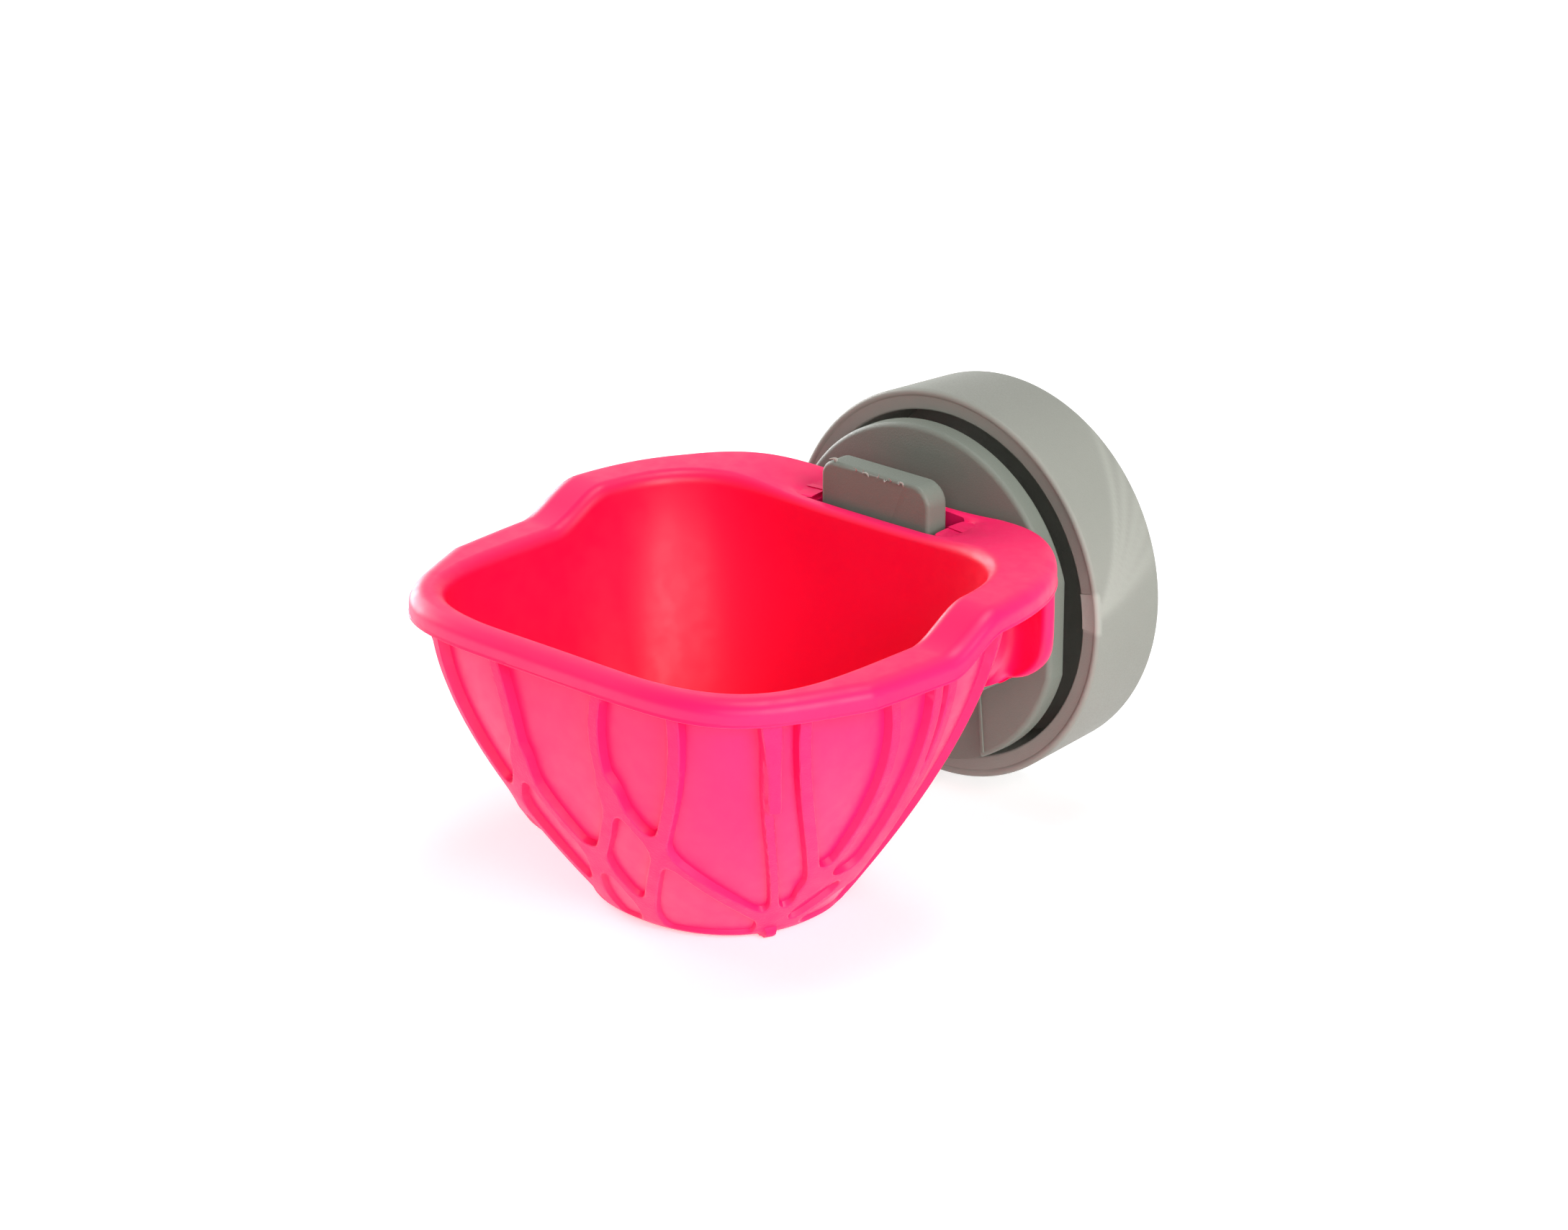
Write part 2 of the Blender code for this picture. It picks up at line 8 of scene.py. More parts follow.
import bmesh
import bpy
import numpy as np
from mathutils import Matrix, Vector


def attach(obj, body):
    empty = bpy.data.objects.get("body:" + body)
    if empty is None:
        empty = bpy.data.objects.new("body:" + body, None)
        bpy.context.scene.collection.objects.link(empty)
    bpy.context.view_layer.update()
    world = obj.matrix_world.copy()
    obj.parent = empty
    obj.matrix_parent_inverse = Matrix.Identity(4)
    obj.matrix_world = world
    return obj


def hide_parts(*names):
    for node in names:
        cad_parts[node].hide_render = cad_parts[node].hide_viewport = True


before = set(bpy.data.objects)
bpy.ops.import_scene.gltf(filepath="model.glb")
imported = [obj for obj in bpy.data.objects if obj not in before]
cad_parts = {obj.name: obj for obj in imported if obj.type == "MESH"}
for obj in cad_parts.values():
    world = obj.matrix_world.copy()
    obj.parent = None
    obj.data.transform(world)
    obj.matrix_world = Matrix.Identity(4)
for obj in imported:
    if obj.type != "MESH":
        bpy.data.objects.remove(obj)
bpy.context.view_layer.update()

# Photograph and camera
PHOTO_WIDTH = 2178
FOCAL_PIXELS = 6630
AZIMUTH = math.radians(42.4)
ELEVATION = math.radians(21.0)
DISTANCE = 0.8
AIM = Vector((0.0, -0.0387, 0.00583))
SENSOR = 36.0
CLIP_START = 0.01

# Holder
DISC_RADIUS = 0.0304
DISC_THICKNESS = 0.0040
DISC_FLAT_HALF = 0.0292
DISC_EDGE = 0.0010
DISC_POINTS = 360
CHANNEL_HALF_TOP = 0.0132
CHANNEL_HALF_FOOT = 0.0146
CHANNEL_DEPTH = 0.0018
BEAD_WIDTH = 0.0006
BEAD_HEIGHT = 0.00025
BEAD_ROUND = BEAD_HEIGHT * 0.8
SHELF_HALF = 0.0202
SHELF_THICKNESS = 0.0056
SHELF_EDGE = 0.0005
TONGUE_HALF = 0.0121
TONGUE_THICKNESS = 0.0056
TONGUE_CORNER = 0.0038
TONGUE_EDGE = 0.0008
TONGUE_LEFT_CORNER = 0.0028
TONGUE_CORNER_STEPS = 14
TONGUE_STAND = 0.0073
TONGUE_TO_DISC = 0.0070
STUD_RADIUS = 0.0100
STUD_LENGTH = 0.0165
STUD_SEGMENTS = 96
STUD_ROWS = 120
THREAD_PITCH = 0.0030
THREAD_DEPTH = 0.0009
THREAD_RISE = 4
THREAD_ROOT = 0.4
THREAD_TIP_FADE = 0.0012
THREAD_START = 0.0015
THREAD_START_FADE = 0.001
GREY_SHARP_ANGLE = math.radians(40)

# Cap
CAP_RADIUS = 0.0350
CAP_BACK_RADIUS = 0.0341
CAP_DEPTH = 0.0187
CAP_MOUTH_RADIUS = 0.0312
CAP_FLOOR_RADIUS = 0.0308
CAP_BACK_WALL = 0.0024
CAP_BACK_EDGE = 0.0018
CAP_BACK_STEPS = 10
CAP_LIP_WIDTH = 0.0014
CAP_REBATE = 0.0004
CAP_SKIRT_ROWS = 26
LUG_TURN = math.radians(5.5)
LUG_SPREAD = math.radians(5.6)
LUG_STEPS = 13
LUG_INSET = 0.0001
LUG_OUTER_INSET = 0.0004
LUG_CHAMFER = 0.0002
LUG_DEPTH = 0.0010
# Painted highlight: the lug's front face is painted in the pale mark colour, standing in for the light
# its raised face catches
LUG_HIGHLIGHT_DEPTH = 0.0008
LUG_HIGHLIGHT_SPREAD = LUG_SPREAD * 1.01
STREAKS = (18, 27, 34, 46, 60)
STREAK_WIDTH = 0.0012
STREAK_CURVE = 1.4
STREAK_FADE = 0.5
HUB_WALL = 0.0030
HUB_GAP = 0.0004
JAW_GAP = 0.0018
REST_GAP = 0.0003
CAP_SEGMENTS = 240
CAP_AXIS_RADIUS = 0.0005
CAP_BACK_RINGS = 5
CAP_BACK_START = 0.008
CAP_LIP_SWEEP = -150
CAP_LIP_STEPS = 16
CAP_EDGE_STEPS = 5
CAP_EDGE = 0.0004
REBATE_MARGIN = 0.0001

# Cup
WALL = 0.0022
BOWL_AXIS_Y = -0.0553
BOWL_HALF_WIDTH = 0.0415
BOWL_HALF_DEPTH = 0.0376
BOWL_FLOOR_Z = -0.0380
FLOOR_SCALE = 0.53
FLOOR_CORNER = 0.0040
FLOOR_TURN = math.radians(60)
BOWL_BULGE = 1.8
RIM_POWER = 4.0
FLOOR_POWER = 2.2
RIM_Z = 0.0151
SHOULDER_RISE = 0.0050
SHOULDER_FRONT_Y = -0.0530
SHOULDER_REAR_Y = -0.0400
LEDGE_DIP = 0.0024
LEDGE_DIP_HALF = 0.0240
LEDGE_REAR_LIFT = 0.0008
LIP_HALF_WIDTH = 0.0479
LIP_FRONT_Y = -0.0955
LIP_MIDDLE_Y = -0.0700
LIP_FRONT_TAPER = 0.22
LIP_REAR_TAPER = 0.12
LIP_FRONT_POWER = 5.0
LIP_REAR_POWER = 3.1
LIP_REAR_OVERSHOOT = 0.0010
LIP_DROP = 0.0042
LIP_THICKNESS = 0.0026
SKIRT_WALL = 0.0018
PLATE_REAR_Y = -0.0060
PLATE_THICKNESS = 0.0020
PLATE_HALF = 0.0390
PLATE_CORNER = 0.0125
POCKET_FOOT_Z = -0.0050
CHEEK_FRONT_HALF = 0.0225
CHEEK_REAR_HALF = 0.0272
CHEEK_THICKNESS = 0.0020
HOOK_RADIUS = 0.0080
HOOK_REACH = 0.6
HOOK_INNER_X = 0.0190
HOOK_BLEND = 0.0050
SLOT_SIDE_GAP = 0.0019
SLOT_FRONT_GAP = 0.0008
SLOT_CORNER = 0.0012
FOOT_WIDTH = 0.0030
FOOT_HEIGHT = 0.0007
EMBED = 0.0010

# Fine form of the cup
CUP_COLUMNS = 400
INNER_ROWS = 24
OUTER_ROWS = 82
CORNER_ROWS = 8
LEDGE_ROWS = 30
ROUND_ROWS = 9
CROWN_ROWS = 14
SKIRT_ROWS = 4
INNER_CORNER_ROWS = 8
LEVEL_SAMPLES = 400
INNER_ROUND = 0.0024
REAR_INNER_ROUND = 0.0013
REAR_ROUND_SINE = 0.75
REAR_ROUND_BLEND = 0.22
REAR_CROWN_Y = -0.020
REAR_CROWN_BLEND = 0.012
CROWN_WIDTH = 0.0030
CROWN_DROP = 0.0023
REAR_CROWN = 0.0007
FLASH = 0.00012
FLASH_HEIGHT = 0.0005
FLASH_RINGS = ((0.3, 1.0), (0.7, 1.0), (1.0, -1.0))
DISH_DEPTH = 0.0013
DISH_HALF = 0.0030
DISH_FRONT = 0.0012
DISH_FRONT_RAMP = 0.0020
DISH_REAR = 0.0006
DISH_REAR_RAMP = 0.0016
RIB_HALF_WIDTH = 0.0014
THIN_HALF_WIDTH = 0.0010
RIB_LIP_HEIGHT = 0.0018
RIB_TAPER = 0.7
RIB_LINES = (0.0, 0.00034, 0.00055)
RIB_RISES = (0.0, 0.92, 1.0)
RIB_START = 0.0004
RIB_COLUMN = 8
TAB_COLUMN = 9
RIB_FILLET = 0.0028
RIB_REACH = 0.0050
RIB_STEPS = 32
RING_TURN = math.radians(46)
SNAP = 0.00005
LEAST_STEEP = 0.3
MOST_STEEP = 3.0
TAB_HALF_WIDTH = 0.0019
TAB_TIP_HALF_WIDTH = 0.0013
TAB_HEIGHT = 0.0027
NUB_ANGLE = -24
NUB_HEIGHT = 0.0009
NUB_HALF = 0.0013
NUB_EDGE = 0.0005
NUB_FOOT_TURN = 0.15
NUB_BLEND_TURN = 0.2
WEB_MIDDLE = -91.5
RIM_RADIUS = 0.0012
RIM_LEAST_RADIUS = 0.0003
RIM_SHARE = 0.35
RIM_STEPS = 11
FLANGE_LEAST = 0.0004
FLANGE_TIP = 0.0003
SCOOP_RUN = 0.0036
SCOOP_STEPS = 18
PLATE_STEPS = 30
POCKET_STEPS = 10
POCKET_FOOT_ROUND = 0.0003
POCKET_FOOT_ROWS = 5
POCKET_ROWS = 24
HOOK_ROWS = 14
HALVINGS = 40
SHARP_ANGLE = math.radians(38)

# Colours and gloss
CUP_DEEP = (0.98, 0.005, 0.118)
CUP_PALE = (0.99, 0.009, 0.140)
# Painted shade: a deeper red for the bowl's inside, standing in for the shade and the reddened bounce
# light in the hollow
CUP_PAINTED_SHADE_INSIDE = (0.99, 0.002, 0.052)
# Painted shade: the holder is the same grey plastic as the cap, painted darker for its faces turned away
# from the lamps, and greener to offset the pink light bounced from the cup
HOLDER_PAINTED_SHADE_DEEP = (0.160, 0.178, 0.150)
HOLDER_PAINTED_SHADE_PALE = (0.185, 0.205, 0.173)
# Pale mark colour: real flow marks and whisker ends, and also a painted highlight on the cap's lug
GREY_MARK_AND_HIGHLIGHT = (0.370, 0.375, 0.335)
CAP_DEEP = (0.262, 0.268, 0.236)
CAP_PALE = (0.292, 0.298, 0.262)
GREY_SPECULAR = 0.3
CUP_SPECULAR = 0.32

# Textures: grains in a metre, roughness from and to, and depths of bump
NOISE_LIMITS = (0.35, 0.65)
CUP_CLOUD = 60.0
CUP_PEEL = 350.0
RIB_GRAIN = 2600.0
GREY_CLOUD = 45.0
GREY_GRAIN = 3200.0
CUP_ROUGHNESS = (0.37, 0.45)
RIB_ROUGHNESS = 0.15
GREY_ROUGHNESS = (0.42, 0.56)
RIB_BUMP = 0.00008
GREY_BUMP = 0.00004

# Stage
WHITE = (1.0, 1.0, 1.0, 1.0)
FLOOR_HALF = 3.0
FLOOR_GAP = 0.0001
FLOOR_WHITE = (0.85, 0.85, 0.85, 1.0)
FLOOR_GLOW = 0.45
FLOOR_FAR_GLOW = 1.0
FLOOR_NEAR = 0.15
FLOOR_FAR = 0.45
WORLD_LIGHT = 0.15
LAMP_TARGET = (0.0, -0.05, -0.005)
SOFTBOXES = (
    ("right", (1.00, -0.20, 0.42), (0.6, 0.7), 9.5),
    ("top", (0.10, 0.15, 1.10), (0.5, 0.5), 5.0),
    ("left", (-1.00, 0.05, 0.20), (0.8, 0.5), 12.0),
    ("front", (0.75, -0.85, 0.50), (0.7, 0.6), 4.5),
)
TABLE_PLACE = (0.0, -0.18)
TABLE_SIZE = (0.6, 0.3)
TABLE_POWER = 0.36

# The right half's ribs: start and end as degrees round the bowl and level, then a bow in degrees
RIBS = (
    ((-74, 0.98), (-75, 0.57), -2),
    ((-75.3, 0.61), (-25, 0.02), -7),
    ((-55, 0.98), (-78, 0.01), 7),
    ((-30, 0.98), (-15, 0.19), -4),
    ((-7, 0.98), (-14, 0.18), 7),
    ((8, 0.98), (4, 0.17), 4),
    ((13, 0.98), (9, 0.13), 5),
    ((32, 0.98), (28, 0.01), 4),
    ((52, 0.98), (78, 0.01), -7),
    ((74, 0.52), (27, 0.02), 7),
    ((-75, 0.60), (-91, 0.24), 3),
    ((-91, 0.26), (-78, 0.01), 1),
    ((-14, 0.24), (-26, 0.01), 2),
    ((4.5, 0.19), (-16, 0.18), 0),
    ((8, 0.15), (-14, 0.01), 0),
    ((74, 0.52), (91, 0.21), -3),
    ((91, 0.23), (78, 0.01), -1),
)
THIN_RIBS = (((-37, 0.98), (-24, 0.01), -4),)
TAB = ((-37, 0.98), (-35, 0.62), 0)

# Whiskers of flash on the holder: foot, run and half width
FLASH_SLIVERS = (
    ((-0.0090, -0.0156, 0.0244), (-0.0009, -0.0007, 0.0011), 0.00045),
    ((-0.0042, -0.0160, 0.0244), (0.0003, -0.0009, 0.0011), 0.00022),
    ((-0.0030, -0.0158, 0.0245), (0.0011, -0.0008, 0.0010), 0.00020),
    ((-0.0012, -0.0161, 0.0243), (-0.0004, -0.0012, 0.0008), 0.00022),
    ((0.0004, -0.0159, 0.0244), (0.0011, -0.0006, 0.0011), 0.00020),
    ((0.0022, -0.0160, 0.0244), (0.0014, -0.0009, 0.0006), 0.00022),
    ((0.0036, -0.0160, 0.0244), (0.0004, -0.0011, 0.0011), 0.00020),
    ((0.0052, -0.0159, 0.0244), (0.0012, -0.0007, 0.0009), 0.00022),
    ((0.0066, -0.0160, 0.0243), (-0.0003, -0.0012, 0.0010), 0.00022),
    ((0.0197, -0.0064, -0.0060), (0.0015, -0.0003, 0.0004), 0.00035),
    ((0.0197, -0.0078, -0.0066), (0.0012, -0.0002, -0.0002), 0.00030),
    ((0.0197, -0.0096, -0.0072), (0.0014, 0.0002, -0.0003), 0.00030),
)
SLIVER_LEAN = (0.3, -0.8, 0.5)
SLIVER_ROWS = 5
SLIVER_SIDES = 6
SLIVER_BEND = 1.5
SLIVER_TAPER = 0.7
SLIVER_FLATNESS = 0.5
FLASH_PALE = 0.8
FLASH_CLEAR = 0.00002

# Positions that follow from the sizes
LEDGE_Z = RIM_Z + SHOULDER_RISE
SHELF_TOP_Z = POCKET_FOOT_Z - REST_GAP
TONGUE_REAR_Y = -DISC_THICKNESS - TONGUE_TO_DISC
TONGUE_FRONT_Y = TONGUE_REAR_Y - TONGUE_THICKNESS
TONGUE_TOP_Z = LEDGE_Z - LEDGE_DIP + TONGUE_STAND
LIP_REAR_HALF = PLATE_REAR_Y - LIP_MIDDLE_Y + LIP_REAR_OVERSHOOT
LIP_FRONT_HALF = LIP_MIDDLE_Y - LIP_FRONT_Y
HUB_BORE = STUD_RADIUS + HUB_GAP
HUB_RADIUS = HUB_BORE + HUB_WALL
FLOOR_Z = BOWL_FLOOR_Z - FOOT_HEIGHT


# Mesh helpers

def link(name, mesh):
    item = bpy.data.objects.new(name, mesh)
    bpy.context.scene.collection.objects.link(item)
    return item


def skin(name, rings, carved=None):
    """Joins rings of equal length into one closed skin, with a fan at each end.

    Carved rows are left open between their first and last ring, and filled with given triangles.
    """
    rings = np.asarray(rings)
    rows, count = rings.shape[:2]
    verts = rings.reshape(-1, 3)
    verts = np.vstack([verts, verts[:count].mean(axis=0), verts[-count:].mean(axis=0)])
    quads = quad_rows(rows, count)
    here = np.arange(count)
    after = (here + 1) % count
    tip = np.full(count, rows * count)
    last = (rows - 1) * count
    faces = np.vstack([
        np.stack([tip, after, here], axis=1),
        np.stack([tip + 1, last + here, last + after], axis=1),
    ])
    a, b, c, d = (verts[quads[:, i]] for i in range(4))
    volume = np.einsum("ij,ij->i", a, np.cross(b, c) + np.cross(c, d)).sum()
    if carved is not None:
        first_row, last_row, triangles, more = carved
        row = quads[:, 0] // count
        quads = quads[(row < first_row) | (row >= last_row)]
        own = triangles < (last_row - first_row + 1) * count
        triangles = np.where(own, triangles + first_row * count,
                             triangles + len(verts) - (last_row - first_row + 1) * count)
        faces = np.vstack([faces, triangles])
        verts = np.vstack([verts, more])
    if volume < 0:
        quads = quads[:, ::-1]
        faces = faces[:, ::-1]
    mesh = bpy.data.meshes.new(name)
    mesh.from_pydata(verts.tolist(), [], faces.tolist() + quads.tolist())
    mesh.update()
    mesh.shade_smooth()
    return mesh


def quad_rows(rows, count):
    """Quads between the rings of a skin."""
    here = np.arange(count)
    after = (here + 1) % count
    row = np.arange(rows - 1)[:, None] * count
    quads = np.stack([row + here, row + after, row + count + after, row + count + here], axis=-1)
    return quads.reshape(-1, 4)


def split_at(triangles, side):
    """Cuts triangles where the side changes its sign; returns them and the edges that were cut."""
    corner = np.sign(side)[triangles]
    mixed = (corner.min(axis=1) < 0) & (corner.max(axis=1) > 0)
    work = triangles[mixed]
    follow = np.roll(work, -1, axis=1)
    crossing = np.roll(corner[mixed], -1, axis=1) * corner[mixed] < 0
    pairs = np.sort(np.stack([work, follow], axis=2)[crossing], axis=1)
    pairs, inverse = np.unique(pairs, axis=0, return_inverse=True)
    middle = np.full(work.shape, -1)
    middle[crossing] = len(side) + inverse.ravel()
    result = [triangles[~mixed]]
    for k in range(3):
        a, b, c = (work[:, (k + i) % 3] for i in range(3))
        ab, bc, ca = (middle[:, (k + i) % 3] for i in range(3))
        lone = (ab >= 0) & (ca >= 0)
        single = (ab >= 0) & (ca < 0) & (bc < 0)
        around_lone = ((a, ab, ca), (ab, b, c), (ab, c, ca))
        through_corner = ((a, ab, c), (ab, b, c))
        result += [np.stack(part, axis=1)[lone] for part in around_lone]
        result += [np.stack(part, axis=1)[single] for part in through_corner]
    return np.vstack(result), pairs


def offset(outline, inset):
    """A closed plan outline, in order against the clock, moved inwards."""
    along = np.roll(outline, -1, axis=0) - np.roll(outline, 1, axis=0)
    along /= np.linalg.norm(along, axis=1)[:, None]
    inwards = np.stack([-along[:, 1], along[:, 0]], axis=1)
    return outline + inwards * inset


def rounded_rows(low, high, low_round, high_round, steps=6):
    """Stations along a prism with rounded end edges, as places and insets."""
    turns = [math.pi / 2 * i / steps for i in range(steps + 1)]
    rows = []
    for turn in turns[::-1]:
        rows.append((low + low_round * (1 - math.sin(turn)), low_round * (1 - math.cos(turn))))
    for turn in turns:
        rows.append((high - high_round * (1 - math.sin(turn)), high_round * (1 - math.cos(turn))))
    return rows


def prism_y(name, outline, rows):
    """A solid along Y from a plan outline in X and Z."""
    rings = []
    for y, inset in rows:
        flat = offset(outline, inset)
        rings.append(np.stack([flat[:, 0], np.full(len(flat), y), flat[:, 1]], axis=1))
    return skin(name, rings)


def rounded_box(half, low, high, radii, steps=8):
    """A plan outline of a box with rounded corners: lower left, lower right, upper right, upper left."""
    corners = (
        (-half, low, 1, 1, 180, radii[0]),
        (half, low, -1, 1, 270, radii[1]),
        (half, high, -1, -1, 0, radii[2]),
        (-half, high, 1, -1, 90, radii[3]),
    )
    points = []
    for x, z, inward_x, inward_z, start, radius in corners:
        for i in range(steps + 1):
            turn = math.radians(start + 90 * i / steps)
            centre_x = x + inward_x * radius
            centre_z = z + inward_z * radius
            points.append((centre_x + radius * math.cos(turn), centre_z + radius * math.sin(turn)))
    return np.array(points)


def turned(name, profile, segments):
    """A closed solid turned about Y from (radius, y) pairs that start and end near the axis."""
    profile = np.asarray(profile)
    turns = math.tau * np.arange(segments) / segments
    radius = profile[:, 0][:, None]
    y = np.repeat(profile[:, 1][:, None], segments, axis=1)
    rings = np.stack([radius * np.cos(turns), y, radius * np.sin(turns)], axis=-1)
    return skin(name, rings)


def combine(item, mesh, operation):
    """Applies a Boolean with a second mesh, which is then removed."""
    tool = link("tool", mesh)
    modifier = item.modifiers.new("combine", "BOOLEAN")
    modifier.operation = operation
    modifier.solver = "MANIFOLD"
    modifier.object = tool
    depsgraph = bpy.context.evaluated_depsgraph_get()
    result = bpy.data.meshes.new_from_object(item.evaluated_get(depsgraph), depsgraph=depsgraph)
    item.modifiers.clear()
    old = item.data
    item.data = result
    bpy.data.meshes.remove(old)
    bpy.data.objects.remove(tool)
    bpy.data.meshes.remove(mesh)


def finish_piece(item, name, body, node, material):
    item.name = name
    item.data.name = name
    item.data.materials.clear()
    item.data.materials.append(material)
    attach(item, body)
    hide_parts(node)


# Cup: the same formulas as the solid, on whole arrays

def smooth_step(value):
    value = np.clip(value, 0.0, 1.0)
    return value * value * (3 - 2 * value)


def rim_height(x, y):
    rise = smooth_step((y - SHOULDER_FRONT_Y) / (SHOULDER_REAR_Y - SHOULDER_FRONT_Y))
    behind = smooth_step((y - SHOULDER_REAR_Y) / (TONGUE_FRONT_Y - SHOULDER_REAR_Y))
    lift = LEDGE_REAR_LIFT * smooth_step((y - TONGUE_FRONT_Y) / (PLATE_REAR_Y - TONGUE_FRONT_Y))
    dip = (LEDGE_DIP * behind - lift) * np.exp(-(x / LEDGE_DIP_HALF) ** 4)
    return RIM_Z + SHOULDER_RISE * rise - dip - dish(x, y)


def dish(x, y):
    """Depth of the ramps that lead down into both ends of the slot."""
    past_front = smooth_step((y - TONGUE_FRONT_Y + DISH_FRONT) / DISH_FRONT_RAMP)
    before_rear = smooth_step((PLATE_REAR_Y - PLATE_THICKNESS + DISH_REAR - y) / DISH_REAR_RAMP)
    beside = np.exp(-((np.abs(x) - TONGUE_HALF - SLOT_SIDE_GAP) / DISH_HALF) ** 2)
    return DISH_DEPTH * past_front * before_rear * beside


def lip_half_width(y):
    front = y < LIP_MIDDLE_Y
    half = np.where(front, LIP_FRONT_HALF, LIP_REAR_HALF)
    power = np.where(front, LIP_FRONT_POWER, LIP_REAR_POWER)
    taper = np.where(front, LIP_FRONT_TAPER, LIP_REAR_TAPER)
    along = (y - LIP_MIDDLE_Y) / half
    inside = np.clip(1 - np.abs(along) ** power, 0.0, 1.0)
    width = LIP_HALF_WIDTH * (1 + taper * along) * inside ** (1 / power)
    return np.where(np.abs(along) > 1, -1.0, width)


def bisect(outside, highest, like):
    low = np.zeros_like(like)
    high = np.full_like(like, highest)
    for _ in range(HALVINGS):
        middle = (low + high) / 2
        past = outside(middle)
        high = np.where(past, middle, high)
        low = np.where(past, low, middle)
    return (low + high) / 2


def lip_outline(angle, inset):
    cos, sin = np.cos(angle), np.sin(angle)

    def outside(reach):
        return np.abs(reach * cos) > lip_half_width(BOWL_AXIS_Y + reach * sin)

    reach = bisect(outside, LIP_REAR_HALF * 2, angle)
    rear = (PLATE_REAR_Y - BOWL_AXIS_Y) / np.maximum(sin, 1e-6)
    reach = np.where(sin > 0, np.minimum(reach, rear), reach) - inset
    return np.stack([reach * cos, BOWL_AXIS_Y + reach * sin], axis=-1)


def bowl_scale(level):
    return FLOOR_SCALE + (1 - FLOOR_SCALE) * (1 - (1 - level) ** BOWL_BULGE)


def bowl_outline(angle, level, inset):
    scale = bowl_scale(level)
    power = FLOOR_POWER + (RIM_POWER - FLOOR_POWER) * level
    across = np.abs(np.cos(angle)) / (BOWL_HALF_WIDTH * scale - inset)
    along = np.abs(np.sin(angle)) / (BOWL_HALF_DEPTH * scale - inset)
    reach = (across ** power + along ** power) ** (-1 / power)
    return np.stack([reach * np.cos(angle), BOWL_AXIS_Y + reach * np.sin(angle)], axis=-1)


def wall_point(angle, level, inset, top_drop):
    flat = bowl_outline(angle, level, inset)
    rim = bowl_outline(angle, 1.0, inset)
    top = rim_height(rim[..., 0], rim[..., 1]) - top_drop
    foot = BOWL_FLOOR_Z + inset + FLOOR_CORNER * (1 - math.cos(FLOOR_TURN))
    return with_height(flat, foot + (top - foot) * level)


def floor_point(angle, turn, inset):
    flat = bowl_outline(angle, 0.0, inset + FLOOR_CORNER * (math.sin(FLOOR_TURN) - math.sin(turn)))
    return with_height(flat, BOWL_FLOOR_Z + inset + FLOOR_CORNER * (1 - math.cos(turn)))


def foot_inner_point(angle, rise):
    inset = FLOOR_CORNER * math.sin(FLOOR_TURN) - FOOT_HEIGHT + FOOT_WIDTH
    return with_height(bowl_outline(angle, 0.0, inset), FLOOR_Z + rise)


def with_height(flat, z):
    z = np.broadcast_to(z, flat.shape[:-1])
    return np.concatenate([flat, z[..., None]], axis=-1)


def on_rim(flat, drop):
    return with_height(flat, rim_height(flat[..., 0], flat[..., 1]) - drop)


def even_levels(rows):
    """Levels from the lip down to the floor, evenly spaced along the wall at a front corner."""
    fine = np.linspace(1.0, 0.0, LEVEL_SAMPLES)
    points = wall_point(np.full_like(fine, -math.pi / 4), fine, 0.0, LIP_THICKNESS)
    steps = np.linalg.norm(np.diff(points, axis=0), axis=1)
    run = np.concatenate([[0.0], np.cumsum(steps)])
    return np.interp(np.linspace(0.0, run[-1], rows), run, fine)


def rib_line(rib, mirrored):
    """Points on the wall along a rib's bowed line."""
    (start_angle, start_level), (end_angle, end_level), bow = rib
    share = np.linspace(0.0, 1.0, RIB_STEPS + 1)
    degrees = start_angle + (end_angle - start_angle) * share + bow * 4 * share * (1 - share)
    if mirrored:
        degrees = 2 * WEB_MIDDLE - degrees
    level = start_level + (end_level - start_level) * share
    return wall_point(np.radians(degrees), level, 0.0, LIP_THICKNESS)


def depth_inside(points, line, half_width):
    """How far points are inside a band about a line."""
    best = np.full(len(points), -1.0)
    for start, end in zip(line, line[1:]):
        run = end - start
        share = np.clip(((points - start) @ run) / (run @ run), 0.0, 1.0)
        gap = np.linalg.norm(points - start - share[:, None] * run, axis=1)
        best = np.maximum(best, half_width - gap)
    return best


def depth_in_tab(points, line):
    """How far points are inside the tapering tab, which has a straight end."""
    run = line[-1] - line[0]
    length = np.linalg.norm(run)
    along = (points - line[0]) @ run / length
    across = np.linalg.norm(points - line[0] - along[:, None] * run / length, axis=1)
    width = TAB_HALF_WIDTH + (TAB_TIP_HALF_WIDTH - TAB_HALF_WIDTH) * np.clip(along / length, 0.0, 1.0)
    return np.minimum(width - across, length - along)


def near(points, line):
    low = line.min(axis=0) - RIB_REACH
    high = line.max(axis=0) + RIB_REACH
    return np.flatnonzero(np.all((points > low) & (points < high), axis=1))


def soft_union(one, other):
    """The deeper of two depths, with a fillet where they are alike."""
    blend = np.maximum(RIB_FILLET - np.abs(one - other), 0.0) / RIB_FILLET
    return np.maximum(one, other) + blend * blend * RIB_FILLET / 4


def rib_depth(points, ring_depth):
    """How far inside the web of ribs, or the ring round the foot, each point of the wall is."""
    depth = ring_depth.copy()
    widths = [(rib, RIB_HALF_WIDTH) for rib in RIBS] + [(rib, THIN_HALF_WIDTH) for rib in THIN_RIBS]
    for rib, half_width in widths:
        for mirrored in (False, True):
            line = rib_line(rib, mirrored)
            chosen = near(points, line)
            band = depth_inside(points[chosen], line, half_width)
            depth[chosen] = soft_union(band, depth[chosen])
    return depth


def tab_depth(points):
    depth = np.full(len(points), -1.0)
    for mirrored in (False, True):
        line = rib_line(TAB, mirrored)
        chosen = near(points, line)
        depth[chosen] = np.maximum(depth[chosen], depth_in_tab(points[chosen], line))
    return depth


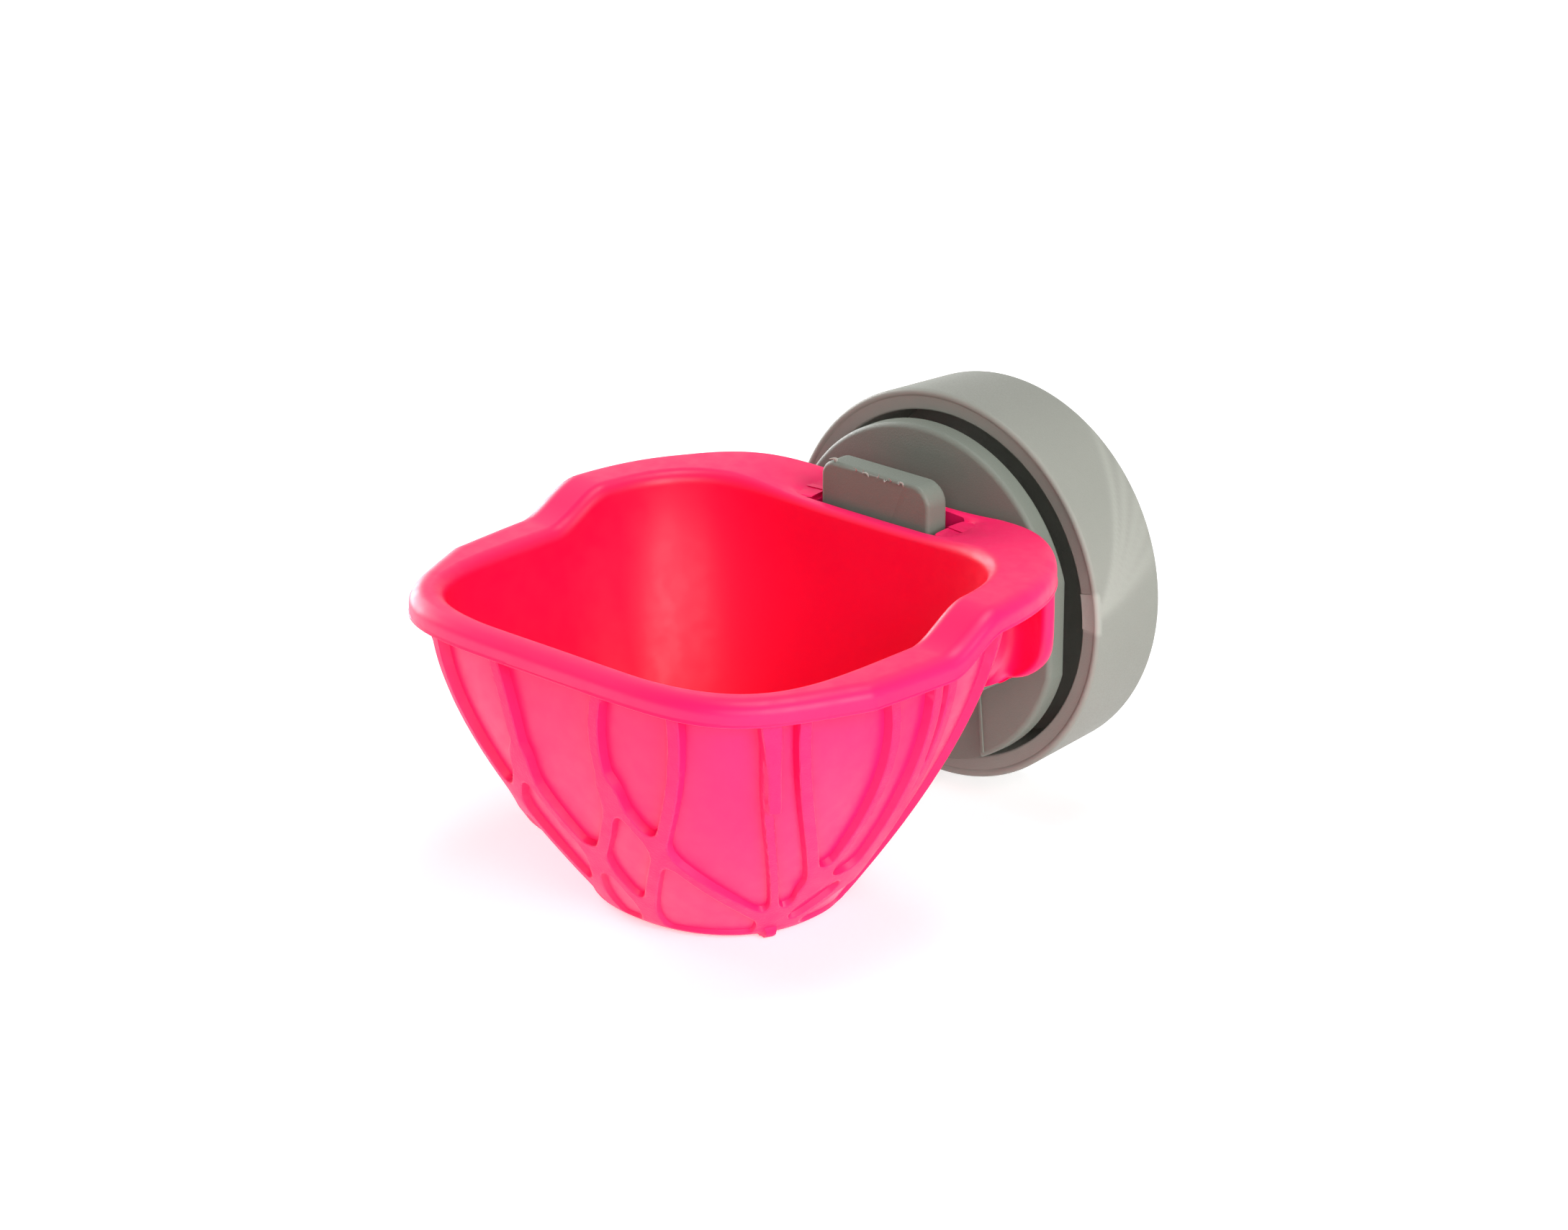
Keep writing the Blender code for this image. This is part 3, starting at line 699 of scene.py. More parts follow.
def slopes(grid, depth):
    """How a depth grows along the wall, as a vector and as its squared length."""
    around = (np.roll(grid, -1, axis=1) - np.roll(grid, 1, axis=1)) / 2
    down = np.gradient(grid, axis=0)
    by_around = (np.roll(depth, -1, axis=1) - np.roll(depth, 1, axis=1)) / 2
    by_down = np.gradient(depth, axis=0)
    uu = (around * around).sum(axis=-1)
    vv = (down * down).sum(axis=-1)
    uv = (around * down).sum(axis=-1)
    area = uu * vv - uv * uv
    slope = ((by_around * vv - by_down * uv) / area)[..., None] * around
    slope += ((by_down * uu - by_around * uv) / area)[..., None] * down
    return slope, (slope * slope).sum(axis=-1)


def evened(grid, depth):
    """Depths stretched where they grow slowly, so that fillets get sides as steep as the rest."""
    steep = slopes(grid, depth)[1]
    return depth / np.sqrt(np.clip(steep, LEAST_STEEP, 1.0))


def snap(grid, depth, targets):
    """Slides points that are near an edge line of the ribs along the wall onto that line."""
    slope, steep = slopes(grid, depth)
    for target in targets:
        gap = target - depth
        chosen = (np.abs(gap) < SNAP) & (steep > LEAST_STEEP) & (steep < MOST_STEEP)
        grid[chosen] += slope[chosen] * (gap[chosen] / steep[chosen])[:, None]
        depth[chosen] = target


def nub_height(points, turns):
    """A small lug where the thin rib runs out under the foot."""
    height = np.zeros(len(points))
    reach = points[:, :2] - (0.0, BOWL_AXIS_Y)
    angles = np.arctan2(reach[:, 1], reach[:, 0])
    for degrees in (NUB_ANGLE, 2 * WEB_MIDDLE - NUB_ANGLE):
        away = np.angle(np.exp(1j * (angles - math.radians(degrees)))) * np.linalg.norm(reach, axis=1)
        across = smooth_step((NUB_HALF - np.abs(away)) / NUB_EDGE)
        below = smooth_step((FLOOR_TURN - turns) / NUB_BLEND_TURN)
        above = smooth_step((turns - NUB_FOOT_TURN) / NUB_BLEND_TURN)
        height = np.maximum(height, NUB_HEIGHT * across * below * above)
    return height


def outer_wall(angles):
    """The ribbed outside of the bowl: rows from the lip to the foot, cut along the ribs' edges.

    Returns the rows, triangles, the points added on the cuts, and a mask of the rib tops.
    """
    levels = even_levels(OUTER_ROWS)
    corner = np.linspace(FLOOR_TURN, 0.0, CORNER_ROWS + 1)[1:]
    rows = [wall_point(angles, level, 0.0, LIP_THICKNESS) for level in levels]
    rows += [floor_point(angles, turn, 0.0) for turn in corner]
    grid = np.array(rows)
    shape = grid.shape[:2]
    around = np.roll(grid, -1, axis=1) - np.roll(grid, 1, axis=1)
    down = np.gradient(grid, axis=0)
    out = np.cross(down, around)
    out /= np.linalg.norm(out, axis=2)[..., None]
    run = np.linalg.norm(np.diff(grid, axis=0), axis=2)
    below = np.vstack([np.zeros((1, len(angles))), np.cumsum(run, axis=0)])
    ring = below - below[OUTER_ROWS - 1] - (FLOOR_TURN - RING_TURN) * FLOOR_CORNER
    depth = rib_depth(grid.reshape(-1, 3), ring.ravel()).reshape(shape)
    depth = np.minimum(evened(grid, depth), below - RIB_START)
    snap(grid, depth, RIB_LINES)
    tab = tab_depth(grid.reshape(-1, 3)).reshape(shape)
    tab = np.minimum(tab, below - RIB_START)
    snap(grid, tab, RIB_LINES)
    share = np.concatenate([levels, np.zeros(CORNER_ROWS)]) ** RIB_TAPER
    tall = FOOT_HEIGHT + (RIB_LIP_HEIGHT - FOOT_HEIGHT) * share
    turns = np.concatenate([np.full(OUTER_ROWS, FLOOR_TURN), corner])
    by_row = np.repeat(np.stack([tall, turns], axis=1)[:, None], len(angles), axis=1)
    table = np.concatenate([grid, out, by_row, depth[..., None], tab[..., None]], axis=2)
    table = table.reshape(-1, table.shape[2])
    quads = quad_rows(*shape)
    triangles = np.vstack([quads[:, [0, 1, 2]], quads[:, [0, 2, 3]]])
    for column in (RIB_COLUMN, TAB_COLUMN):
        for line in RIB_LINES:
            side = table[:, column] - line
            triangles, pairs = split_at(triangles, side)
            one, other = pairs.T
            part = (side[one] / (side[one] - side[other]))[:, None]
            added = table[one] + (table[other] - table[one]) * part
            added[:, column] = line
            table = np.vstack([table, added])
    points, out, (tall, turns, depth, tab) = table[:, :3], table[:, 3:6], table[:, 6:].T
    height = np.maximum(tall * edge_profile(depth), TAB_HEIGHT * edge_profile(tab))
    height += nub_height(points, turns)
    points = points + out / np.linalg.norm(out, axis=1)[:, None] * height[:, None]
    points[:, 2] = np.maximum(points[:, 2], FLOOR_Z)
    tops = smooth_step((np.maximum(depth, tab) - RIB_LINES[-2]) / (RIB_LINES[-1] - RIB_LINES[-2]))
    count = grid.size // 3
    return points[:count].reshape(grid.shape), triangles, points[count:], tops


def edge_profile(depth):
    """A rib's section: a steep drafted side, and a narrow bevel at its top."""
    return np.interp(depth, RIB_LINES, RIB_RISES)


def inner_round(angles):
    """Radius between the lip's top and the inside of the bowl, smaller along the ledge."""
    rear = smooth_step((np.sin(angles) - REAR_ROUND_SINE) / REAR_ROUND_BLEND)
    return INNER_ROUND + (REAR_INNER_ROUND - INNER_ROUND) * rear


def lip_rings(angles):
    """Rings over the rolled lip, from the bowl's inner edge out and down to the skirt's foot."""
    inner = bowl_outline(angles, 1.0, WALL)
    outer = lip_outline(angles, FLASH)
    run = outer - inner
    width = np.linalg.norm(run, axis=1)
    out = run / width[:, None]
    rear = smooth_step((outer[:, 1] - REAR_CROWN_Y) / REAR_CROWN_BLEND)
    crown = CROWN_WIDTH + (REAR_CROWN - CROWN_WIDTH) * rear
    drop = CROWN_DROP + (REAR_CROWN - CROWN_DROP) * rear
    radius = np.minimum(inner_round(angles), width - crown)
    rings = []
    for turn in np.linspace(0.0, math.pi / 2, ROUND_ROWS + 1)[1:]:
        step = radius * (1 - math.cos(turn))
        rings.append(on_rim(inner + out * step[:, None], inner_round(angles) * (1 - math.sin(turn))))
    for share in np.linspace(0.0, 1.0, LEDGE_ROWS)[1:-1]:
        step = radius + (width - crown - radius) * share
        rings.append(on_rim(inner + out * step[:, None], 0.0))
    for turn in np.linspace(math.pi / 2, 0.0, CROWN_ROWS):
        step = width - crown * (1 - math.cos(turn))
        rings.append(on_rim(inner + out * step[:, None], drop * (1 - math.sin(turn))))
    skirt_foot = LIP_DROP - FLASH_HEIGHT
    for share in np.linspace(0.0, 1.0, SKIRT_ROWS + 1)[1:]:
        rings.append(on_rim(outer, drop + (skirt_foot - drop) * share))
    for share, proud in FLASH_RINGS:
        rings.append(on_rim(outer + out * FLASH * proud, skirt_foot + FLASH_HEIGHT * share))
    inside_skirt = lip_outline(angles, SKIRT_WALL)
    rings.append(on_rim(inside_skirt, LIP_DROP))
    rings.append(on_rim(inside_skirt, LIP_THICKNESS))
    return rings


def cup_mesh():
    angles = math.tau * np.arange(CUP_COLUMNS) / CUP_COLUMNS
    rings = [floor_point(angles, turn, WALL) for turn in np.linspace(0.0, FLOOR_TURN, INNER_CORNER_ROWS)]
    for level in even_levels(INNER_ROWS)[::-1][1:]:
        rings.append(wall_point(angles, level, WALL, inner_round(angles)))
    rings += lip_rings(angles)
    wall, triangles, added, tops = outer_wall(angles)
    first = len(rings)
    last = first + len(wall) - 1
    rings += list(wall)
    for rise in (0.0, FOOT_HEIGHT):
        rings.append(foot_inner_point(angles, rise))
    mesh = skin("cup", rings, (first, last, triangles, added))
    values = np.zeros(len(mesh.vertices))
    own = wall.size // 3
    values[first * CUP_COLUMNS:first * CUP_COLUMNS + own] = tops[:own]
    values[len(rings) * CUP_COLUMNS + 2:] = tops[own:]
    point_values(mesh, "rib", values)
    # Painted shade: the inside attribute marks the bowl's inside, fading out over the inner round, and
    # the material paints it a deeper red
    inner = INNER_CORNER_ROWS - 1 + INNER_ROWS
    inside = np.zeros(len(mesh.vertices))
    inside[:inner * CUP_COLUMNS] = 1.0
    inside[inner * CUP_COLUMNS:(inner + ROUND_ROWS) * CUP_COLUMNS] = np.repeat(
        np.linspace(1.0, 0.0, ROUND_ROWS), CUP_COLUMNS)
    inside[len(rings) * CUP_COLUMNS] = 1.0
    point_values(mesh, "inside", inside)
    return mesh


def point_values(mesh, name, values):
    layer = mesh.attributes.new(name, "FLOAT", "POINT")
    layer.data.foreach_set("value", values)


def plate_rear_y(x):
    def inside(forward):
        return np.abs(x) < lip_half_width(PLATE_REAR_Y - forward)

    step = bisect(inside, LIP_REAR_HALF / 2, x)
    return PLATE_REAR_Y - step - REST_GAP


def wall_rear_y(x, z):
    top = LEDGE_Z - WALL
    level = min(1.0, max(0.0, (z - BOWL_FLOOR_Z) / (top - BOWL_FLOOR_Z)))
    scale = bowl_scale(level)
    power = FLOOR_POWER + (RIM_POWER - FLOOR_POWER) * level
    across = abs(x) / (BOWL_HALF_WIDTH * scale - EMBED)
    return BOWL_AXIS_Y + (BOWL_HALF_DEPTH * scale - EMBED) * (1 - across ** power) ** (1 / power)


def bezier(start, control, end, steps):
    share = np.linspace(0.0, 1.0, steps)[:, None]
    return (1 - share) ** 2 * start + 2 * share * (1 - share) * control + share ** 2 * end


def pocket_half(z):
    """One half of the pocket's plan at a height: cheek, scooped flange with a round rim, rear face."""
    below = max(0.0, POCKET_FOOT_Z + PLATE_CORNER - z)
    cheek_out = CHEEK_REAR_HALF + CHEEK_THICKNESS
    tip = PLATE_HALF - PLATE_CORNER + math.sqrt(max(0.0, PLATE_CORNER ** 2 - below ** 2))
    tip = max(tip, cheek_out + FLANGE_LEAST)
    rim_radius = min(RIM_RADIUS, max(RIM_LEAST_RADIUS, (tip - cheek_out) * RIM_SHARE))
    front_y = wall_rear_y(CHEEK_FRONT_HALF, z)
    start = np.array([CHEEK_FRONT_HALF + CHEEK_THICKNESS, front_y])
    across = np.linspace(tip - FLANGE_TIP, 0.0, PLATE_STEPS)
    rear_face = np.stack([across, plate_rear_y(across)], axis=1)
    lean = rear_face[0] - rear_face[1]
    lean /= np.linalg.norm(lean)
    forward = np.array([lean[1], -lean[0]])
    rim_centre = rear_face[0] + forward * rim_radius
    turns = np.linspace(math.pi / 2, -math.pi / 2, RIM_STEPS)[::-1, None]
    rim = rim_centre + rim_radius * (np.cos(turns) * lean - np.sin(turns) * forward)
    corner = np.array([cheek_out, plate_rear_y(np.array([cheek_out]))[0] - PLATE_THICKNESS])
    away = start - corner
    scoop_start = corner + away / np.linalg.norm(away) * SCOOP_RUN
    outer = [start[None], bezier(scoop_start, corner, rim[0], SCOOP_STEPS)[:-1], rim, rear_face[1:]]
    inner_x = np.linspace(0.0, CHEEK_REAR_HALF, POCKET_STEPS)
    inner = [np.stack([inner_x, plate_rear_y(inner_x) - PLATE_THICKNESS], axis=1)]
    inner.append(np.array([[CHEEK_FRONT_HALF, front_y]]))
    return np.vstack(outer), np.vstack(inner)


def hooked(plan, z):
    """The pocket's plan with both ends of the plate curled forwards near its foot."""
    low = min(max((POCKET_FOOT_Z + HOOK_RADIUS - z) / HOOK_RADIUS, 0.0), 1.0)
    curl = HOOK_RADIUS * (1 - math.sqrt(1 - low * low))
    front_y = wall_rear_y(CHEEK_FRONT_HALF, z)
    back = np.clip((plan[:, 1] - front_y) / (PLATE_REAR_Y - front_y) / HOOK_REACH, 0.0, 1.0)
    end = smooth_step((np.abs(plan[:, 0]) - HOOK_INNER_X) / HOOK_BLEND)
    return plan - np.stack([np.zeros(len(plan)), curl * back * end], axis=1)


def pocket_mesh():
    """Rear plate and both cheeks as one solid, lofted up from a rounded foot."""
    level = LEDGE_Z - LEDGE_DIP - LIP_THICKNESS
    rows = []
    for turn in np.linspace(math.pi / 2, 0.0, POCKET_FOOT_ROWS):
        z = POCKET_FOOT_Z + POCKET_FOOT_ROUND * (1 - math.sin(turn))
        rows.append((z, POCKET_FOOT_ROUND * (1 - math.cos(turn))))
    first = math.acos(1 - POCKET_FOOT_ROUND / HOOK_RADIUS)
    for turn in np.linspace(first, math.pi / 2, HOOK_ROWS)[1:]:
        rows.append((POCKET_FOOT_Z + HOOK_RADIUS * (1 - math.cos(turn)), 0.0))
    for z in np.linspace(POCKET_FOOT_Z + HOOK_RADIUS, level, POCKET_ROWS)[1:]:
        rows.append((z, 0.0))
    mirror = np.array([-1.0, 1.0])
    rings = []
    for z, inset in rows:
        outer, inner = pocket_half(z)
        plan = np.vstack([outer, (outer[:-1] * mirror)[::-1], (inner[1:] * mirror)[::-1], inner])
        plan = offset(hooked(plan, z), inset)
        rings.append(with_height(plan, z))
    root = rim_height(plan[:, 0], plan[:, 1]) - LIP_THICKNESS + EMBED
    rings.append(with_height(plan, root))
    return skin("pocket", rings)


def slot_mesh():
    """Cutter for the slot, with round corners."""
    half = TONGUE_HALF + SLOT_SIDE_GAP
    front = TONGUE_FRONT_Y - SLOT_FRONT_GAP
    rear = PLATE_REAR_Y - PLATE_THICKNESS
    plan = rounded_box(half, front, rear, (SLOT_CORNER,) * 4)
    levels = (POCKET_FOOT_Z + TONGUE_CORNER, LEDGE_Z + WALL)
    return skin("slot", [with_height(plan, z) for z in levels])


def make_cup(material):
    cup = link("cup", cup_mesh())
    combine(cup, pocket_mesh(), "UNION")
    combine(cup, slot_mesh(), "DIFFERENCE")
    cup.data.shade_smooth()
    cup.data.set_sharp_from_angle(angle=SHARP_ANGLE)
    finish_piece(cup, "cup_moulding", "cup", "feeder_cup", material)


# Holder

def disc_plan():
    """The disc's outline: a circle cut straight at both sides."""
    turns = math.tau * np.arange(DISC_POINTS) / DISC_POINTS
    x = np.clip(DISC_RADIUS * np.cos(turns), -DISC_FLAT_HALF, DISC_FLAT_HALF)
    return np.stack([x, DISC_RADIUS * np.sin(turns)], axis=1)


def channel_mesh():
    shelf_foot = SHELF_TOP_Z - SHELF_THICKNESS
    foot = -DISC_RADIUS - EMBED
    plan = np.array([
        (-CHANNEL_HALF_FOOT, foot),
        (CHANNEL_HALF_FOOT, foot),
        (CHANNEL_HALF_TOP, shelf_foot + EMBED),
        (-CHANNEL_HALF_TOP, shelf_foot + EMBED),
    ])
    rows = [(-DISC_THICKNESS - EMBED, 0.0), (-DISC_THICKNESS + CHANNEL_DEPTH, 0.0)]
    return prism_y("channel", plan, rows)


def bead_mesh(side):
    """The narrow bead along one edge of the channel."""
    foot = -math.sqrt((DISC_RADIUS - DISC_EDGE) ** 2 - CHANNEL_HALF_FOOT ** 2)
    top = SHELF_TOP_Z - SHELF_THICKNESS + EMBED
    foot_row = [(CHANNEL_HALF_FOOT, foot), (CHANNEL_HALF_FOOT + BEAD_WIDTH, foot)]
    top_row = [(CHANNEL_HALF_TOP + BEAD_WIDTH, top), (CHANNEL_HALF_TOP, top)]
    plan = np.array(foot_row + top_row)
    plan[:, 0] *= side
    rows = rounded_rows(-DISC_THICKNESS - BEAD_HEIGHT, -DISC_THICKNESS + BEAD_WIDTH, BEAD_ROUND, 0.0)
    return prism_y("bead", plan[::side], rows)


def stud_mesh():
    """The stud with its thread as a rolling radius."""
    turns = math.tau * np.arange(STUD_SEGMENTS) / STUD_SEGMENTS
    rings = []
    for y in np.linspace(-EMBED, STUD_LENGTH, STUD_ROWS):
        wave = (y / THREAD_PITCH - turns / math.tau) % 1.0
        ridge = smooth_step((0.5 - np.abs(wave - 0.5)) * THREAD_RISE - THREAD_ROOT)
        fade = smooth_step((STUD_LENGTH - y) / THREAD_TIP_FADE)
        fade *= smooth_step((y - THREAD_START) / THREAD_START_FADE)
        radius = STUD_RADIUS - THREAD_DEPTH * (1 - ridge * fade)
        ring = [radius * np.cos(turns), np.full(STUD_SEGMENTS, y), radius * np.sin(turns)]
        rings.append(np.stack(ring, axis=1))
    return skin("stud", rings)


def sliver_mesh(foot, run, width):
    """A thin bent whisker of flash that tapers to a blunt end."""
    foot = np.array(foot)
    run = np.array(run)
    side = np.cross(run, SLIVER_LEAN)
    side /= np.linalg.norm(side)
    across = np.cross(side, run)
    across /= np.linalg.norm(across)
    rings = []
    for share in np.linspace(0.0, 1.0, SLIVER_ROWS):
        centre = foot + run * share + side * width * SLIVER_BEND * math.sin(share * math.pi)
        half = width * (1 - SLIVER_TAPER * share)
        rings.append([centre + half * (math.cos(turn) * side + SLIVER_FLATNESS * math.sin(turn) * across)
                      for turn in np.linspace(0.0, math.tau, SLIVER_SIDES, endpoint=False)])
    return skin("sliver", rings)


def make_holder(material):
    rows = rounded_rows(-DISC_THICKNESS, 0.0, DISC_EDGE, DISC_EDGE / 2)
    holder = link("holder", prism_y("disc", disc_plan(), rows))
    shelf_plan = rounded_box(SHELF_HALF, SHELF_TOP_Z - SHELF_THICKNESS, SHELF_TOP_Z, (SHELF_EDGE,) * 4)
    shelf_rows = rounded_rows(TONGUE_FRONT_Y, -DISC_THICKNESS + EMBED, SHELF_EDGE, SHELF_EDGE / 5)
    combine(holder, prism_y("shelf", shelf_plan, shelf_rows), "UNION")
    corners = (SHELF_EDGE, SHELF_EDGE, TONGUE_CORNER, TONGUE_LEFT_CORNER)
    tongue_foot = SHELF_TOP_Z - SHELF_THICKNESS / 2
    tongue_plan = rounded_box(TONGUE_HALF, tongue_foot, TONGUE_TOP_Z, corners, TONGUE_CORNER_STEPS)
    tongue_rows = rounded_rows(TONGUE_FRONT_Y + SHELF_EDGE, TONGUE_REAR_Y, TONGUE_EDGE, TONGUE_EDGE)
    combine(holder, prism_y("tongue", tongue_plan, tongue_rows), "UNION")
    for sliver in FLASH_SLIVERS:
        combine(holder, sliver_mesh(*sliver), "UNION")
    combine(holder, stud_mesh(), "UNION")
    combine(holder, channel_mesh(), "DIFFERENCE")
    for side in (-1, 1):
        combine(holder, bead_mesh(side), "UNION")
    holder.data.shade_smooth()
    holder.data.set_sharp_from_angle(angle=GREY_SHARP_ANGLE)
    point_values(holder.data, "pale_marks_and_highlight", flash_values(holder.data))
    finish_piece(holder, "holder_moulding", "holder", "holder_plate", material)


# Cap

def arc(centre_r, centre_y, radius, start, end, steps):
    turns = np.radians(np.linspace(start, end, steps + 1))
    return list(zip(centre_r + radius * np.cos(turns), centre_y + radius * np.sin(turns)))


def lug_mesh(front):
    """The gate's lug, which fills a short piece of the rebate."""
    inner = CAP_MOUTH_RADIUS + LUG_INSET
    outer = CAP_RADIUS - LUG_OUTER_INSET
    face = front + LUG_INSET
    root = front + LUG_DEPTH
    section = [(inner, root), (inner, face + LUG_CHAMFER), (inner + LUG_CHAMFER, face)]
    section += [(outer, face), (outer, root)]
    radius, y = np.array(section).T
    rings = []
    for turn in np.linspace(LUG_TURN - LUG_SPREAD, LUG_TURN + LUG_SPREAD, LUG_STEPS):
        rings.append(np.stack([radius * math.cos(turn), y, radius * math.sin(turn)], axis=1))
    return skin("lug", rings)


def coordinates(mesh):
    place = np.empty(len(mesh.vertices) * 3)
    mesh.vertices.foreach_get("co", place)
    return place.reshape(-1, 3).T


def flash_values(mesh):
    """The whiskers' free ends, which are paler than the moulding."""
    x, y, z = coordinates(mesh)
    proud = (z > TONGUE_TOP_Z + FLASH_CLEAR) | (y < TONGUE_FRONT_Y + SHELF_EDGE - FLASH_CLEAR)
    proud &= (z > LEDGE_Z) & (y < TONGUE_REAR_Y)
    beside = (x > SHELF_HALF + FLASH_CLEAR) & (y < -DISC_THICKNESS - FLASH_CLEAR)
    return np.where(proud | beside, FLASH_PALE, 0.0)


def streak_and_lug_highlight_values(mesh, front):
    """Pale flow marks fanning from the lug over the skirt to the back edge, and a painted highlight over
    the lug's front face.
    """
    x, y, z = coordinates(mesh)
    turn = np.arctan2(z, x)
    radius = np.hypot(x, z)
    along = np.clip((y - front) / CAP_DEPTH, 0.0, 1.0)
    values = np.zeros(len(x))
    for degrees in STREAKS:
        middle = LUG_TURN + (math.radians(degrees) - LUG_TURN) * along ** STREAK_CURVE
        away = (turn - middle) * CAP_RADIUS / (STREAK_WIDTH * (1 + along))
        values = np.maximum(values, np.exp(-away ** 2) * (1 - STREAK_FADE * along))
    values *= radius > CAP_BACK_RADIUS - CAP_BACK_EDGE
    # Painted highlight: the lug's front face is painted fully pale, as the light it catches
    lug_highlight = (np.abs(turn - LUG_TURN) <= LUG_HIGHLIGHT_SPREAD) & (y < front + LUG_HIGHLIGHT_DEPTH)
    lug_highlight &= radius > CAP_MOUTH_RADIUS
    return np.where(lug_highlight, 1.0, values)


def make_cap(material):
    front = JAW_GAP
    back = front + CAP_DEPTH
    floor = back - CAP_BACK_WALL
    lip_inner = CAP_RADIUS - CAP_LIP_WIDTH
    lip_round = CAP_LIP_WIDTH / 2
    rebate = front + CAP_REBATE
    back_flat = CAP_BACK_RADIUS - CAP_BACK_EDGE
    skirt_back = back - CAP_BACK_EDGE
    profile = [(CAP_AXIS_RADIUS, back)]
    profile += [(radius, back) for radius in np.linspace(CAP_BACK_START, back_flat, CAP_BACK_RINGS)]
    profile += arc(back_flat, skirt_back, CAP_BACK_EDGE, 90, 0, CAP_BACK_STEPS)[1:]
    for share in np.linspace(0.0, 1.0, CAP_SKIRT_ROWS + 1)[1:-1]:
        radius = CAP_BACK_RADIUS + (CAP_RADIUS - CAP_BACK_RADIUS) * share
        profile.append((radius, skirt_back + (front + lip_round - skirt_back) * share))
    lip_middle = front + lip_round
    profile += arc(CAP_RADIUS - lip_round, lip_middle, lip_round, 0, CAP_LIP_SWEEP, CAP_LIP_STEPS)
    profile += [(lip_inner - REBATE_MARGIN, rebate)]
    profile += arc(CAP_MOUTH_RADIUS + CAP_EDGE, rebate + CAP_EDGE, CAP_EDGE, -90, -180, CAP_EDGE_STEPS)
    profile += [(CAP_FLOOR_RADIUS, floor), (HUB_RADIUS, floor)]
    profile += [(HUB_RADIUS, REST_GAP + CAP_EDGE), (HUB_RADIUS - CAP_EDGE, REST_GAP)]
    profile += [(HUB_BORE + CAP_EDGE, REST_GAP), (HUB_BORE, REST_GAP + CAP_EDGE)]
    profile += [(HUB_BORE, floor), (CAP_AXIS_RADIUS, floor)]
    cap = link("cap", turned("cap", profile, CAP_SEGMENTS))
    combine(cap, lug_mesh(front), "UNION")
    cap.data.shade_smooth()
    cap.data.set_sharp_from_angle(angle=GREY_SHARP_ANGLE)
    point_values(cap.data, "pale_marks_and_highlight", streak_and_lug_highlight_values(cap.data, front))
    finish_piece(cap, "cap_moulding", "cap", "clamp_cap", material)


# Materials

def node(tree, kind, **values):
    item = tree.nodes.new(kind)
    for key, value in values.items():
        setattr(item, key, value)
    return item


def plastic(name):
    material = bpy.data.materials.new(name)
    material.use_nodes = True
    return material, material.node_tree, material.node_tree.nodes["Principled BSDF"]


def noise(tree, place, scale, detail=2.0):
    """A noise texture whose scale is the number of grains in a metre."""
    item = node(tree, "ShaderNodeTexNoise")
    item.inputs["Scale"].default_value = scale
    item.inputs["Detail"].default_value = detail
    tree.links.new(place, item.inputs["Vector"])
    return item.outputs["Fac"]


def math_node(tree, operation, first, second):
    item = node(tree, "ShaderNodeMath", operation=operation)
    for socket, value in zip(item.inputs, (first, second)):
        if isinstance(value, (int, float)):
            socket.default_value = value
        else:
            tree.links.new(value, socket)
    return item.outputs[0]


def between(tree, factor, results, limits=NOISE_LIMITS):
    """A value that goes from one result to the other as the factor goes between its limits."""
    item = node(tree, "ShaderNodeMapRange")
    for name, value in zip(("From Min", "From Max", "To Min", "To Max"), (*limits, *results)):
        item.inputs[name].default_value = value
    tree.links.new(factor, item.inputs["Value"])
    return item.outputs["Result"]


def blended(tree, factor, one, other):
    item = node(tree, "ShaderNodeMix", data_type="RGBA")
    item.inputs["A"].default_value = (*one, 1.0)
    item.inputs["B"].default_value = (*other, 1.0)
    tree.links.new(factor, item.inputs["Factor"])
    return item.outputs["Result"]


def bump(tree, height, distance):
    item = node(tree, "ShaderNodeBump")
    item.inputs["Distance"].default_value = distance
    tree.links.new(height, item.inputs["Height"])
    return item.outputs["Normal"]


def object_place(tree):
    return node(tree, "ShaderNodeTexCoord").outputs["Object"]


def cup_material():
    """Glossy pink, with sandblasted rib tops, and a deeper red inside the bowl that is painted shade."""
    material, tree, shader = plastic("pink_plastic")
    place = object_place(tree)
    tops = node(tree, "ShaderNodeAttribute", attribute_name="rib").outputs["Fac"]
    inside = node(tree, "ShaderNodeAttribute", attribute_name="inside").outputs["Fac"]
    cloud = noise(tree, place, CUP_CLOUD)
    grain = noise(tree, place, RIB_GRAIN)
    peel = noise(tree, place, CUP_PEEL)
    # Painted shade: where the inside attribute is set, the base colour turns to the deeper red
    colour = blended(tree, inside, CUP_PALE, CUP_PAINTED_SHADE_INSIDE)
    tree.links.new(blended(tree, cloud, CUP_DEEP, CUP_PALE), colour.node.inputs["A"])
    tree.links.new(colour, shader.inputs["Base Color"])
    smooth = between(tree, peel, CUP_ROUGHNESS)
    rough = math_node(tree, "MULTIPLY_ADD", tops, RIB_ROUGHNESS)
    tree.links.new(smooth, rough.node.inputs[2])
    shader.inputs["Specular IOR Level"].default_value = CUP_SPECULAR
    tree.links.new(rough, shader.inputs["Roughness"])
    blast = math_node(tree, "MULTIPLY", tops, grain)
    tree.links.new(bump(tree, blast, RIB_BUMP), shader.inputs["Normal"])
    return material


